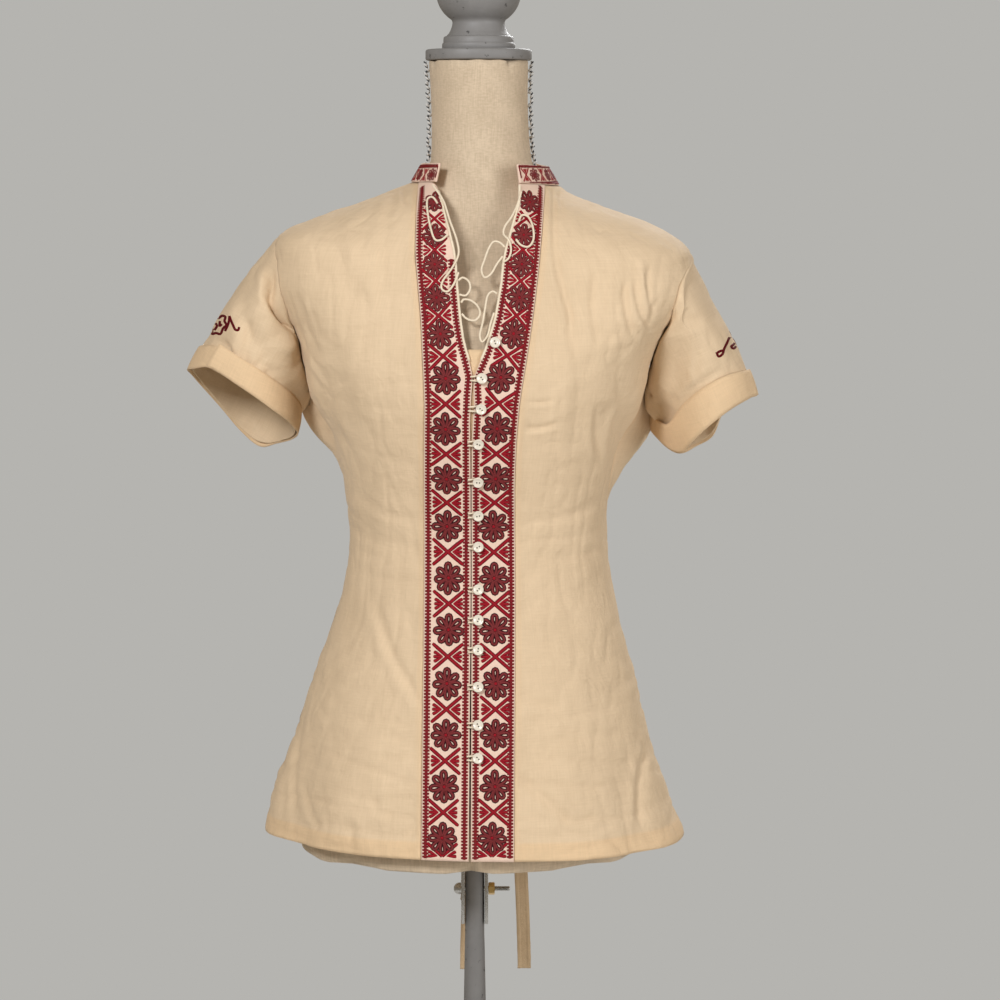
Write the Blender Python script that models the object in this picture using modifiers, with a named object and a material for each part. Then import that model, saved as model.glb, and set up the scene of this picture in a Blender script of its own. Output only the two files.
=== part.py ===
# An embroidered cotton top on a linen dress form, for Blender 4.5.
# Metres, +Z up, front towards -Y, the wearer's left towards +X.
# The origin is on the floor, under the centre of the round base.

import math

import bmesh
import bpy
from mathutils import Matrix, Vector

for old in list(bpy.data.objects):
    bpy.data.objects.remove(old, do_unlink=True)

# Sizes shared by many pieces
CLOTH = 0.0012            # wall of the light cotton
DOUBLED = 0.0020          # wall of the bands, collar and cuffs, sewn double
SEAM = 0.0003             # gap between two pieces that are sewn together
REST = 0.0004             # gap between the cloth and the form that carries it
CORD = 0.0010             # radius of the rouleau cord

# The body of the top, level by level from the hem to the neck. Each level is an oval ring
# that rises or falls from its sides to its front and back. "lean" lowers the wearer's left.
# Squareness 2 is an ellipse. The armhole columns give, in degrees from the side, how far
# the front and back panels stop short of it. "rows" are the mesh rows up to the next level.
LEVEL_COLUMNS = (
    "front_z", "side_z", "back_z", "lean", "centre_x", "half_width", "front_depth",
    "back_depth", "front_square", "back_square", "armhole_right", "armhole_left", "rows")
BODY_LEVELS = (
    ("hem",        0.708, 0.708, 0.708, 0.004, 0.0005, 0.2050, 0.138, 0.142, 2.1, 2.1, 0, 0, 2),
    ("flare",      0.757, 0.757, 0.757, 0.002, -0.0035, 0.1900, 0.134, 0.136, 2.1, 2.1, 0, 0, 2),
    ("hip",        0.805, 0.805, 0.805, 0, -0.0020, 0.1725, 0.129, 0.130, 2.1, 2.1, 0, 0, 2),
    ("high_hip",   0.860, 0.860, 0.860, 0, -0.0010, 0.1575, 0.121, 0.121, 2.1, 2.1, 0, 0, 2),
    ("belly",      0.915, 0.915, 0.915, 0, 0.0020, 0.1395, 0.112, 0.110, 2.1, 2.1, 0, 0, 1),
    ("low_waist",  0.955, 0.955, 0.955, 0, 0.0035, 0.1290, 0.105, 0.100, 2.1, 2.1, 0, 0, 1),
    ("waist",      0.993, 0.993, 0.993, 0, 0.0040, 0.1245, 0.101, 0.092, 2.1, 2.1, 0, 0, 2),
    ("high_waist", 1.030, 1.030, 1.030, 0, 0.0030, 0.1262, 0.104, 0.099, 2.1, 2.1, 0, 0, 1),
    ("rib",        1.065, 1.065, 1.065, 0, 0.0028, 0.1325, 0.113, 0.110, 2.2, 2.2, 0, 0, 2),
    ("under_bust", 1.100, 1.100, 1.100, 0, 0.0038, 0.1420, 0.122, 0.115, 2.3, 2.3, 0, 0, 2),
    ("bust",       1.135, 1.135, 1.135, 0, 0.0025, 0.1555, 0.128, 0.117, 2.4, 2.4, 0, 0, 2),
    ("underarm",   1.168, 1.172, 1.172, 0, 0.0030, 0.1670, 0.126, 0.116, 2.6, 2.5, 0, 0, 2),
    ("arm_low",    1.190, 1.198, 1.196, 0.001, 0.0065, 0.1790, 0.121, 0.114, 2.8, 2.7, 13, 15, 2),
    ("arm_middle", 1.215, 1.232, 1.224, 0.003, 0.0085, 0.2010, 0.115, 0.112, 2.9, 2.8, 17, 22, 2),
    ("arm_high",   1.238, 1.262, 1.250, 0.005, 0.0090, 0.2010, 0.110, 0.108, 2.9, 2.8, 13, 16, 2),
    ("shoulder",   1.259, 1.2852, 1.272, 0.0075, 0.0094, 0.1950, 0.105, 0.103, 2.9, 2.8, 0, 0, 1),
    ("yoke_low",   1.280, 1.3030, 1.293, 0.0025, 0.0096, 0.1580, 0.099, 0.096, 2.5, 2.5, 0, 0, 1),
    ("yoke_middle", 1.301, 1.3143, 1.314, 0.003, 0.0098, 0.1250, 0.090, 0.086, 2.2, 2.3, 0, 0, 1),
    ("yoke_high",  1.319, 1.3243, 1.330, 0.003, 0.0100, 0.0930, 0.0815, 0.075, 1.9, 2.1, 0, 0, 1),
    ("neck",       1.337, 1.3350, 1.345, 0.0015, 0.0105, 0.0715, 0.095, 0.062, 1.55, 2.0, 0, 0, 1),
)

# The folds that show from a step away: the cloth stands out by "depth", or in if negative,
# along a line from one angle and height to another, fading over "spread" degrees.
# Angles go round from the wearer's left side at 0, by the back at 90. "open" folds run on
# to the lower edge at full depth, the others fade at both ends.
FOLD_COLUMNS = ("top_angle", "foot_angle", "top_z", "foot_z", "spread", "depth", "open")
FOLDS = (
    ("wing_left",            19, 17, 1.185, 1.012, 10, 0.0360, False),
    ("wing_right",          160, 162, 1.185, 1.035, 10, 0.0330, False),
    ("side_valley_left",      1, 2, 1.165, 1.020, 8, -0.0085, False),
    ("side_valley_right",   179, 178, 1.165, 1.035, 8, -0.0085, False),
    ("chest_left_outer",    -31, -36, 1.262, 1.150, 5, 0.0036, False),
    ("chest_left_inner",    -43, -46, 1.270, 1.120, 5, 0.0030, False),
    ("chest_right",         214, 218, 1.255, 1.140, 6, 0.0028, False),
    ("hem_valley_right",    201, 203, 0.835, 0.700, 6, -0.0085, True),
    ("hem_valley_left",     -25, -28, 0.810, 0.700, 6, -0.0075, True),
    ("hem_flare_right",     188, 189, 0.830, 0.700, 7, 0.0030, True),
    ("hem_wave_right",      231, 232, 0.900, 0.700, 9, 0.0035, True),
    ("hem_wave_left",       -52, -50, 0.900, 0.700, 9, 0.0035, True),
    ("back_gather_1",        52, 46, 1.180, 1.008, 8, 0.0070, False),
    ("back_gather_2",        79, 76, 1.170, 1.008, 8, 0.0085, False),
    ("back_gather_3",       104, 106, 1.170, 1.008, 8, 0.0080, False),
    ("back_gather_4",       130, 134, 1.180, 1.008, 8, 0.0070, False),
    ("back_flute_1",         48, 38, 0.985, 0.700, 8, 0.0110, True),
    ("back_flute_2",         68, 62, 0.980, 0.700, 8, 0.0120, True),
    ("back_flute_3",         90, 90, 0.985, 0.700, 8, 0.0100, True),
    ("back_flute_4",        112, 118, 0.980, 0.700, 8, 0.0120, True),
    ("back_flute_5",        132, 143, 0.985, 0.700, 8, 0.0110, True),
)

# Where the edges of the two front bands run, as x at each height: a V down to the bust,
# then side by side to the hem. Right and left are the wearer's.
BAND_COLUMNS = ("z", "right_outer", "right_inner", "left_inner", "left_outer")
BAND_EDGES = (
    (1.345, -0.0515, -0.0372, 0.0425, 0.0672),
    (1.320, -0.0526, -0.0290, 0.0425, 0.0660),
    (1.295, -0.0536, -0.0222, 0.0352, 0.0640),
    (1.270, -0.0536, -0.0160, 0.0280, 0.0620),
    (1.245, -0.0512, -0.0145, 0.0256, 0.0592),
    (1.215, -0.0484, -0.0116, 0.0204, 0.0555),
    (1.185, -0.0470, -0.0090, 0.0135, 0.0510),
    (1.160, -0.0458, -0.0052, 0.0058, 0.0468),
    (1.135, -0.0449, -0.0038, 0.0025, 0.0428),
    (1.100, -0.0455, -0.0035, -0.0014, 0.0400),
    (1.060, -0.0460, -0.0033, -0.0019, 0.0384),
    (0.950, -0.0464, -0.0033, -0.0019, 0.0393),
    (0.700, -0.0490, -0.0050, -0.0026, 0.0380),
)

# The linen form, with the same columns. Its shoulder ridge follows the cloth that lies on it.
FORM_LEVELS = (
    ("bottom",     0.691, 0.691, 0.691, 0, -0.0040, 0.1680, 0.118, 0.122, 2.1, 2.1, 0, 0, 1),
    ("low_hip",    0.745, 0.745, 0.745, 0, -0.0040, 0.1680, 0.118, 0.122, 2.1, 2.1, 0, 0, 1),
    ("hip",        0.805, 0.805, 0.805, 0, -0.0020, 0.1610, 0.114, 0.118, 2.1, 2.1, 0, 0, 1),
    ("high_hip",   0.860, 0.860, 0.860, 0, -0.0010, 0.1490, 0.108, 0.109, 2.1, 2.1, 0, 0, 1),
    ("belly",      0.915, 0.915, 0.915, 0, 0.0020, 0.1325, 0.102, 0.099, 2.1, 2.1, 0, 0, 1),
    ("waist",      0.993, 0.993, 0.993, 0, 0.0040, 0.1185, 0.095, 0.086, 2.1, 2.1, 0, 0, 1),
    ("rib",        1.065, 1.065, 1.065, 0, 0.0028, 0.1205, 0.105, 0.099, 2.1, 2.1, 0, 0, 1),
    ("bust",       1.135, 1.135, 1.135, 0, 0.0025, 0.1330, 0.120, 0.106, 2.2, 2.2, 0, 0, 1),
    ("chest",      1.185, 1.190, 1.190, 0.001, 0.0050, 0.1480, 0.112, 0.103, 2.3, 2.3, 0, 0, 1),
    ("arm",        1.222, 1.238, 1.234, 0.003, 0.0085, 0.1610, 0.098, 0.096, 2.3, 2.3, 0, 0, 1),
    ("shoulder",   1.248, 1.272, 1.262, 0.004, 0.0093, 0.1670, 0.084, 0.085, 2.3, 2.3, 0, 0, 1),
    ("cap",        1.262, 1.2905, 1.276, 0.003, 0.0095, 0.1610, 0.077, 0.078, 2.3, 2.3, 0, 0, 1),
)
NECK_LEVELS = (
    ("neck_root",  1.340, 1.3440, 1.346, 0, 0.0080, 0.0545, 0.057, 0.052, 2.0, 2.0, 0, 0, 2),
    ("neck_low",   1.358, 1.3580, 1.358, 0, 0.0068, 0.0480, 0.050, 0.048, 2.0, 2.0, 0, 0, 1),
    ("neck",       1.385, 1.3850, 1.385, 0, 0.0060, 0.0464, 0.047, 0.046, 2.0, 2.0, 0, 0, 1),
    ("neck_high",  1.420, 1.4200, 1.420, 0, 0.0050, 0.0462, 0.046, 0.046, 2.0, 2.0, 0, 0, 1),
    ("neck_top",   1.4520, 1.4520, 1.4520, 0, 0.0045, 0.0478, 0.048, 0.048, 2.0, 2.0, 0, 0, 1),
)
# How deep the form is in front and behind where the cloth rests on its ridge
RIDGE_COLUMNS = ("level", "front_depth", "back_depth", "narrower", "lower")
FORM_RIDGE = (
    ("yoke_low", 0.071, 0.072, 0, 0),
    ("yoke_middle", 0.064, 0.066, 0, 0),
    ("yoke_high", 0.057, 0.059, 0, 0),
    ("neck", 0.055, 0.052, 0.0045, 0.0030),
)

# Each sleeve, from its armhole to its open end. "corner" is the end's outer corner and
# "inner" its corner beside the body; "front" and "back" are the middles of those edges.
SLEEVE_COLUMNS = ("corner", "inner", "front", "back", "notch")
SLEEVES = {
    "right": ((-0.2765, 0.006, 1.1585), (-0.1755, 0.012, 1.1060), (-0.2200, -0.058, 1.1440),
              (-0.2310, 0.062, 1.0860), 52),
    "left": ((0.2735, 0.006, 1.1390), (0.1850, 0.012, 1.0840), (0.2330, -0.054, 1.1210),
             (0.2270, 0.058, 1.0740), 18),
}
CUFF_HEIGHT = 0.0235
COLLAR_HEIGHT = 0.0185
COLLAR_LEAN = 0.0105      # how far its top edge leans in towards the neck

# Buttons: heights above the floor, all close to the left band's inner edge
BUTTON_HEIGHTS = (1.1910, 1.1587, 1.1310, 1.0985, 1.0623, 1.0297, 0.9998,
                  0.9595, 0.9313, 0.9040, 0.8700, 0.8350, 0.8046)
BUTTON_RADIUS = 0.0051
BUTTON_FROM_EDGE = 0.0064

# Long loops that hang unfastened along the V, each sewn at both ends to an edge: the points
# that their cord follows. "edge" and "over" ones lie on the band, the others beside it.
HANGING_LOOPS = {
    "right_edge": (
        (-0.0378, -0.0646, 1.3352), (-0.0278, -0.0761, 1.3204), (-0.0216, -0.0909, 1.3023),
        (-0.0154, -0.0992, 1.2857), (-0.0135, -0.1041, 1.2718), (-0.0203, -0.1082, 1.2581),
        (-0.0277, -0.1106, 1.2481), (-0.0291, -0.1122, 1.2408), (-0.0235, -0.1127, 1.2380),
        (-0.0175, -0.1111, 1.2453), (-0.0134, -0.1087, 1.2554)),
    "right_over": (
        (-0.0333, -0.0766, 1.3183), (-0.0377, -0.0706, 1.3238), (-0.0426, -0.0694, 1.3224),
        (-0.0429, -0.0791, 1.3140), (-0.0402, -0.0919, 1.2989), (-0.0357, -0.0994, 1.2859),
        (-0.0297, -0.0999, 1.2850), (-0.0237, -0.0978, 1.2896)),
    "right_upper": (
        (-0.0136, -0.1086, 1.2480), (-0.0096, -0.1080, 1.2506), (-0.0042, -0.1086, 1.2474),
        (-0.0026, -0.1103, 1.2406), (-0.0066, -0.1117, 1.2344), (-0.0127, -0.1115, 1.2352)),
    "right_lower": (
        (-0.0111, -0.1134, 1.2277), (-0.0084, -0.1124, 1.2307), (-0.0024, -0.1125, 1.2298),
        (0.0041, -0.1135, 1.2248), (0.0064, -0.1151, 1.2175), (0.0018, -0.1164, 1.2116),
        (-0.0056, -0.1162, 1.2130), (-0.0104, -0.1158, 1.2177)),
    "left_edge": (
        (0.0447, -0.0781, 1.3295), (0.0411, -0.0786, 1.3175), (0.0356, -0.0880, 1.3061),
        (0.0295, -0.0933, 1.2976), (0.0281, -0.0969, 1.2903), (0.0331, -0.0997, 1.2844),
        (0.0350, -0.1029, 1.2756), (0.0326, -0.1050, 1.2682), (0.0280, -0.1055, 1.2649)),
    "left_over": (
        (0.0421, -0.0908, 1.3016), (0.0450, -0.0864, 1.3074), (0.0510, -0.0867, 1.3060),
        (0.0551, -0.0924, 1.2971), (0.0558, -0.0987, 1.2859), (0.0512, -0.1017, 1.2789),
        (0.0442, -0.1013, 1.2803), (0.0396, -0.0993, 1.2854)),
    "left_upper": (
        (0.0292, -0.1000, 1.2784), (0.0248, -0.0988, 1.2824), (0.0188, -0.0984, 1.2833),
        (0.0142, -0.1007, 1.2769), (0.0105, -0.1036, 1.2668), (0.0077, -0.1060, 1.2577),
        (0.0105, -0.1077, 1.2508), (0.0165, -0.1068, 1.2540), (0.0220, -0.1045, 1.2631),
        (0.0271, -0.1024, 1.2699)),
    "left_lower": (
        (0.0221, -0.1114, 1.2359), (0.0179, -0.1106, 1.2380), (0.0133, -0.1115, 1.2339),
        (0.0110, -0.1140, 1.2221), (0.0088, -0.1170, 1.2094), (0.0062, -0.1196, 1.1985),
        (0.0082, -0.1211, 1.1921), (0.0132, -0.1198, 1.1976), (0.0163, -0.1169, 1.2094),
        (0.0193, -0.1152, 1.2186)),
}

# Ties: a narrow belt across the back of the waist, knotted, with two hanging ends
TIE_WIDTH = 0.0136
TIE_THICK = 0.0014
TIE_HEIGHT = 0.996
KNOT_ANGLE = 84
TIE_FEET = {"left": (0.0500, 0.5340), "right": (-0.0120, 0.5330)}

# The stand
TRIM_RADIUS = 0.0017
FORM_BOTTOM = FORM_LEVELS[0][1]
POLE_TOP_RADIUS = 0.0094
POLE_FOOT_RADIUS = 0.0118
BASE_RADIUS = 0.178
BASE_HEIGHT = 0.034
BOLT_HEIGHT = 0.6485
BOLT_RADIUS = 0.0024
STRAP_LENGTH = 0.076
STRAP_THICK = 0.0034
STRAP_WIDTH = 0.0160

model = bpy.data.collections.new("boho_top_on_dress_form")
bpy.context.scene.collection.children.link(model)
cutters = bpy.data.collections.new("cutters")
bpy.context.scene.collection.children.link(cutters)


def finish(name, color, roughness, metallic=0.0):
    """A plain surface for one material of the object."""
    made = bpy.data.materials.new(name)
    made.use_nodes = True
    shader = made.node_tree.nodes["Principled BSDF"]
    shader.inputs["Base Color"].default_value = (*color, 1)
    shader.inputs["Roughness"].default_value = roughness
    shader.inputs["Metallic"].default_value = metallic
    return made


COTTON = finish("cotton", (0.78, 0.60, 0.39), 0.85)
BAND_CLOTH = finish("embroidered_band", (0.55, 0.22, 0.18), 0.8)
SHELL = finish("shell_button", (0.85, 0.80, 0.72), 0.25)
LOOP_CORD = finish("loop_cord", (0.74, 0.57, 0.40), 0.8)
LINEN = finish("linen", (0.60, 0.48, 0.33), 0.9)
TRIM = finish("trim_cord", (0.62, 0.60, 0.56), 0.8)
GREY_WOOD = finish("grey_painted_wood", (0.22, 0.21, 0.20), 0.5)
STEEL = finish("steel", (0.45, 0.44, 0.42), 0.35, 1.0)
BRASS = finish("brass", (0.60, 0.42, 0.18), 0.35, 1.0)


def add_object(name, data, material):
    """Put a mesh or curve in the model under its own name."""
    made = bpy.data.objects.new(name, data)
    model.objects.link(made)
    data.materials.append(material)
    return made


def smooth_value(values, place):
    """The value at a place along a list, on a smooth curve through its entries."""
    last = len(values) - 1
    start = min(int(place), last - 1)
    t = place - start
    here, there = values[start], values[start + 1]
    before = values[start - 1] if start > 0 else 2 * here - there
    after = values[start + 2] if start + 2 <= last else 2 * there - here
    return 0.5 * (2 * here + (there - before) * t
                  + (2 * before - 5 * here + 4 * there - after) * t * t
                  + (3 * here - before - 3 * there + after) * t ** 3)


def level_at(levels, place):
    """One ring of a table of levels, with every column worked out at that place."""
    return {column: smooth_value([row[i + 1] for row in levels], place)
            for i, column in enumerate(LEVEL_COLUMNS)}


def row_places(levels):
    """The places of all mesh rows of a table of levels, from the first to the last."""
    places = []
    for i, row in enumerate(levels[:-1]):
        places += [i + j / row[-1] for j in range(row[-1])]
    return places + [len(levels) - 1]


def ring_point(level, angle, out=0.0):
    """A point of an oval ring, at an angle in degrees, moved out level with the floor."""
    c, s = math.cos(math.radians(angle)), math.sin(math.radians(angle))
    side = "front" if s < 0 else "back"
    depth, square = level[side + "_depth"], level[side + "_square"]
    reach = ((abs(c) / level["half_width"]) ** square + (abs(s) / depth) ** square) ** (-1 / square)
    x = reach * c
    z = level["side_z"] + (level[side + "_z"] - level["side_z"]) * s * s
    z -= level["lean"] * x / level["half_width"]
    return Vector((level["centre_x"] + (reach + out) * c, (reach + out) * s, z))


def ramp(t):
    """0 before 0, 1 after 1 and smooth between."""
    t = min(max(t, 0.0), 1.0)
    return t * t * (3 - 2 * t)


def fold_depth(angle, z):
    """How far the folds push the cloth out at an angle and height."""
    total = 0.0
    for row in FOLDS:
        fold = dict(zip(FOLD_COLUMNS, row[1:]))
        t = (fold["top_z"] - z) / (fold["top_z"] - fold["foot_z"])
        strength = ramp(t / 0.45)
        if not fold["open"]:
            strength *= ramp((1 - t) / 0.45)
        middle = fold["top_angle"] + (fold["foot_angle"] - fold["top_angle"]) * min(max(t, 0), 1)
        apart = (angle - middle + 180) % 360 - 180
        total += fold["depth"] * strength * math.exp(-((apart / fold["spread"]) ** 2))
    return total


def body_point(angle, place, out=0.0):
    """A point of the cloth's outer face, moved out by a distance."""
    level = level_at(BODY_LEVELS, place)
    return ring_point(level, angle, fold_depth(angle, ring_point(level, angle).z) + out)


def body_normal(angle, place):
    """The direction straight out of the cloth at a point."""
    step = 0.02 if place < len(BODY_LEVELS) - 1.05 else -0.02
    around = body_point(angle + 0.5, place) - body_point(angle - 0.5, place)
    up = (body_point(angle, place + step) - body_point(angle, place)) * math.copysign(1, step)
    return around.cross(up).normalized()


def band_edge(edge, z):
    """Where one edge of the bands runs, at a height."""
    column = BAND_COLUMNS.index(edge)
    rows = sorted(BAND_EDGES)
    for low, high in zip(rows, rows[1:]):
        if z <= high[0] or high is rows[-1]:
            t = min(max((z - low[0]) / (high[0] - low[0]), 0.0), 1.0)
            return low[column] + (high[column] - low[column]) * t


def angle_at_x(place, x_of_z):
    """The angle on the front of a level where the cloth reaches a given x."""
    low, high = 182.0, 358.0
    for _ in range(40):
        middle = (low + high) / 2
        point = body_point(middle, place)
        if point.x < x_of_z(point.z):
            low = middle
        else:
            high = middle
    return middle


def place_at_height(angle, z):
    """The place in the table of levels where the cloth has a given height."""
    low, high = 0.0, len(BODY_LEVELS) - 1.0
    for _ in range(40):
        middle = (low + high) / 2
        if body_point(angle, middle).z < z:
            low = middle
        else:
            high = middle
    return middle


def front_place(x, z):
    """The angle and the place in the table of levels of a point on the front."""
    angle, place = 270.0, place_at_height(270.0, z)
    for _ in range(6):
        angle = angle_at_x(place, lambda _: x)
        place = place_at_height(angle, z)
    return angle, place


def even_angles(place, start, end, count):
    """Angles from start to end that part a level into stretches of equal length."""
    samples = [start + (end - start) * i / 48 for i in range(49)]
    points = [body_point(angle, place) for angle in samples]
    lengths = [0.0]
    for a, b in zip(points, points[1:]):
        lengths.append(lengths[-1] + (b - a).length)
    angles, at = [], 0
    for i in range(count + 1):
        goal = lengths[-1] * i / count
        while at < 47 and lengths[at + 1] < goal:
            at += 1
        t = (goal - lengths[at]) / (lengths[at + 1] - lengths[at])
        angles.append(samples[at] + (samples[at + 1] - samples[at]) * t)
    return angles


def sheet_mesh(name, lines, closed=False):
    """An open surface through lines of points. Its outer face is on the right of its rows."""
    shape = bmesh.new()
    verts = [[shape.verts.new(point) for point in line] for line in lines]
    count = len(lines[0])
    for low, high in zip(verts, verts[1:]):
        for i in range(count if closed else count - 1):
            j = (i + 1) % count
            shape.faces.new((low[i], low[j], high[j], high[i]))
    mesh = bpy.data.meshes.new(name)
    shape.to_mesh(mesh)
    shape.free()
    mesh.shade_smooth()
    return mesh


def add_cloth(name, lines, material, thickness, closed=False, outwards=False):
    """A cloth wall: a surface through lines of points, thickened on one side."""
    made = add_object(name, sheet_mesh(name, lines, closed), material)
    wall = made.modifiers.new("wall", "SOLIDIFY")
    wall.thickness = thickness
    wall.offset = 1 if outwards else -1
    return made


def body_panel(name, left_of, right_of, columns, material, thickness=CLOTH, proud=0.0):
    """A panel of the body between two edges, given as functions of the place."""
    lines = []
    for place in row_places(BODY_LEVELS):
        start, end = left_of(place), right_of(place)
        width = (body_point(start, place) - body_point((start + end) / 2, place)).length * 2
        trim = (end - start) * SEAM * 0.7 / width
        lines.append([body_point(angle, place) + body_normal(angle, place) * proud
                      for angle in even_angles(place, start + trim, end - trim, columns)])
    return add_cloth(name, lines, material, thickness)


def armhole(side, place):
    """How far short of the side a panel stops, in degrees."""
    return max(level_at(BODY_LEVELS, place)["armhole_" + side], 0.0)


def edge_angle(edge):
    """A function that gives the angle of one band edge at a place."""
    return lambda place: angle_at_x(place, lambda z: band_edge(edge, z))


# Fronts, back and the two bands down the front edges
body_panel("front_right", lambda p: 180 + armhole("right", p), edge_angle("right_outer"), 9, COTTON)
body_panel("front_left", edge_angle("left_outer"), lambda p: 360 - armhole("left", p), 9, COTTON)
body_panel("back", lambda p: armhole("left", p), lambda p: 180 - armhole("right", p), 22, COTTON)
BAND_PROUD = DOUBLED - CLOTH
body_panel("band_right", edge_angle("right_outer"), edge_angle("right_inner"), 3, BAND_CLOTH,
           DOUBLED, BAND_PROUD)
body_panel("band_left", edge_angle("left_inner"), edge_angle("left_outer"), 3, BAND_CLOTH,
           DOUBLED, BAND_PROUD)


def add_guard():
    """The narrow strip behind the foot of the V, just inside the two bands."""
    inside = CLOTH + SEAM * 1.6
    lines = []
    for i in range(9):
        place = place_at_height(270, 1.060 + 0.100 * i / 8)
        lines.append([body_point(angle_at_x(place, lambda z, x=x: x), place, -inside)
                      for x in (-0.011, -0.0015, 0.008)])
    add_cloth("guard", lines, COTTON, CLOTH - SEAM)


def add_collar():
    """The stand collar, round the back of the neck from one band's inner edge to the other's."""
    top = len(BODY_LEVELS) - 1
    start = edge_angle("left_inner")(top) - 360 + 1.0
    end = edge_angle("right_inner")(top) - 1.0
    angles = even_angles(top, start, end, 26)
    foot_gap = BAND_PROUD + SEAM * 1.5
    lines = []
    for rise in (0, 0.5, 1):
        line = []
        for angle in angles:
            foot = body_point(angle, top)
            inward = Vector((foot.x - BODY_LEVELS[top][5], foot.y, 0)).normalized()
            lean = COLLAR_LEAN * rise * (1 - 0.45 * ramp(-math.sin(math.radians(angle)) * 1.4))
            line.append(foot - inward * lean
                        + Vector((0, 0, foot_gap + (COLLAR_HEIGHT - foot_gap) * rise)))
        lines.append(line)
    add_cloth("collar", lines, BAND_CLOTH, DOUBLED)


add_guard()
add_collar()


def armhole_loop(side):
    """The armhole's edge from the shoulder by the front, the underarm and the back."""
    names = [row[0] for row in BODY_LEVELS]
    rows = [place for place in row_places(BODY_LEVELS)
            if names.index("underarm") <= place <= names.index("shoulder")]
    down = rows[::-1]
    points = []
    for place in down:
        short = armhole(side, place)
        points.append(body_point(180 + short if side == "right" else -short, place))
    for place in rows[1:-1]:
        short = armhole(side, place)
        points.append(body_point(180 - short if side == "right" else short, place))
    return points


def sleeve_point(side, rim, loop, i, t, out=0.0):
    """A point of a sleeve: i round its girth from the outer fold, t from armhole to rim."""
    turn = 2 * math.pi * i / len(loop)
    outer, low = Vector(rim["corner"]), Vector(rim["inner"])
    ahead, behind = Vector(rim["front"]), Vector(rim["back"])
    middle = (outer + low + ahead + behind) / 4
    along = (outer - low) / 2
    across = (ahead - behind) / 2
    round_end = middle + along * math.cos(turn) + across * math.sin(turn)
    axis = along.cross(across).normalized()
    if axis.z > 0:
        axis.negate()
    away = 1 if side == "left" else -1
    centre = sum(loop, Vector()) / len(loop)
    start = loop[i] + (centre - loop[i]).normalized() * SEAM * 2 + Vector((away * SEAM * 2, 0, 0))
    under = (1 - math.cos(turn)) / 2
    leave = Vector((away * (0.72 + 0.3 * under), 0.35 * (loop[i].y - centre.y) / 0.07,
                    -0.68 + 0.45 * under)).normalized()
    reach = (round_end - start).length
    first = start + leave * reach * (0.34 - 0.06 * under)
    second = round_end - axis * reach * 0.30
    point = (start * (1 - t) ** 3 + first * 3 * t * (1 - t) ** 2
             + second * 3 * t * t * (1 - t) + round_end * t ** 3)
    spoke = point - (centre * (1 - t) + middle * t)
    spoke -= axis * spoke.dot(axis)
    return point + spoke.normalized() * out


def add_sleeve(side):
    """One sleeve and its turned cuff, whose ends meet in a notch."""
    rim = dict(zip(SLEEVE_COLUMNS, SLEEVES[side]))
    loop = armhole_loop(side)
    girth = len(loop)
    order = range(girth) if side == "left" else range(girth - 1, -1, -1)
    length = (sleeve_point(side, rim, loop, 0, 1) - loop[0]).length
    top = 1 - CUFF_HEIGHT / length
    heights = [0, 0.12, 0.30, 0.50, 0.69, top, (top + 1) / 2, 0.985]
    lines = [[sleeve_point(side, rim, loop, i, t) for i in order] for t in heights]
    add_cloth("sleeve_" + side, lines, COTTON, CLOTH, closed=True)
    notch = rim["notch"] / 360 * girth
    first = int(notch) + 1
    turns = [(first + k) % girth for k in range(girth)]
    if side == "right":
        turns.reverse()
    lines = [[sleeve_point(side, rim, loop, i, t, stand) for i in turns]
             for t, stand in ((top, 0.0014), ((top + 1) / 2, 0.0010), (1.0, 0.0006))]
    add_cloth("cuff_" + side, lines, COTTON, DOUBLED - SEAM, outwards=True)


add_sleeve("right")
add_sleeve("left")


def turned_mesh(name, profile, steps):
    """A shape turned about Z from (radius, height) points that run from top to bottom."""
    shape = bmesh.new()
    verts = [shape.verts.new((radius, 0, height)) for radius, height in profile]
    for a, b in zip(verts, verts[1:]):
        shape.edges.new((a, b))
    mesh = bpy.data.meshes.new(name)
    shape.to_mesh(mesh)
    shape.free()
    guide = bpy.data.objects.new(name + "_profile", mesh)
    model.objects.link(guide)
    screw = guide.modifiers.new("turn", "SCREW")
    screw.steps = steps
    screw.render_steps = steps
    screw.use_merge_vertices = True
    screw.merge_threshold = 0.00005
    turned = bpy.data.meshes.new_from_object(guide.evaluated_get(bpy.context.evaluated_depsgraph_get()))
    bpy.data.objects.remove(guide)
    shape = bmesh.new()
    shape.from_mesh(turned)
    bmesh.ops.remove_doubles(shape, verts=shape.verts, dist=0.000005)
    shape.to_mesh(turned)
    shape.free()
    turned.name = name
    turned.shade_smooth()
    return turned


def stand_on(made, point, normal):
    """Place an object with its Z axis along a direction."""
    made.matrix_world = Matrix.Translation(point) @ normal.to_track_quat("Z", "Y").to_matrix().to_4x4()


def add_tube(name, points, radius, material, sides=1):
    """A round cord through points, with closed ends."""
    curve = bpy.data.curves.new(name, "CURVE")
    curve.dimensions = "3D"
    curve.bevel_depth = radius
    curve.bevel_resolution = sides
    curve.use_fill_caps = True
    spline = curve.splines.new("POLY")
    spline.points.add(len(points) - 1)
    for knot, point in zip(spline.points, points):
        knot.co = (*point, 1)
    return add_object(name, curve, material)


def smooth_route(points, count):
    """A smooth route through a few points, at equal steps along the list."""
    last = len(points) - 1
    return [Vector([smooth_value([p[axis] for p in points], last * i / (count - 1))
                    for axis in range(3)]) for i in range(count)]


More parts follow.
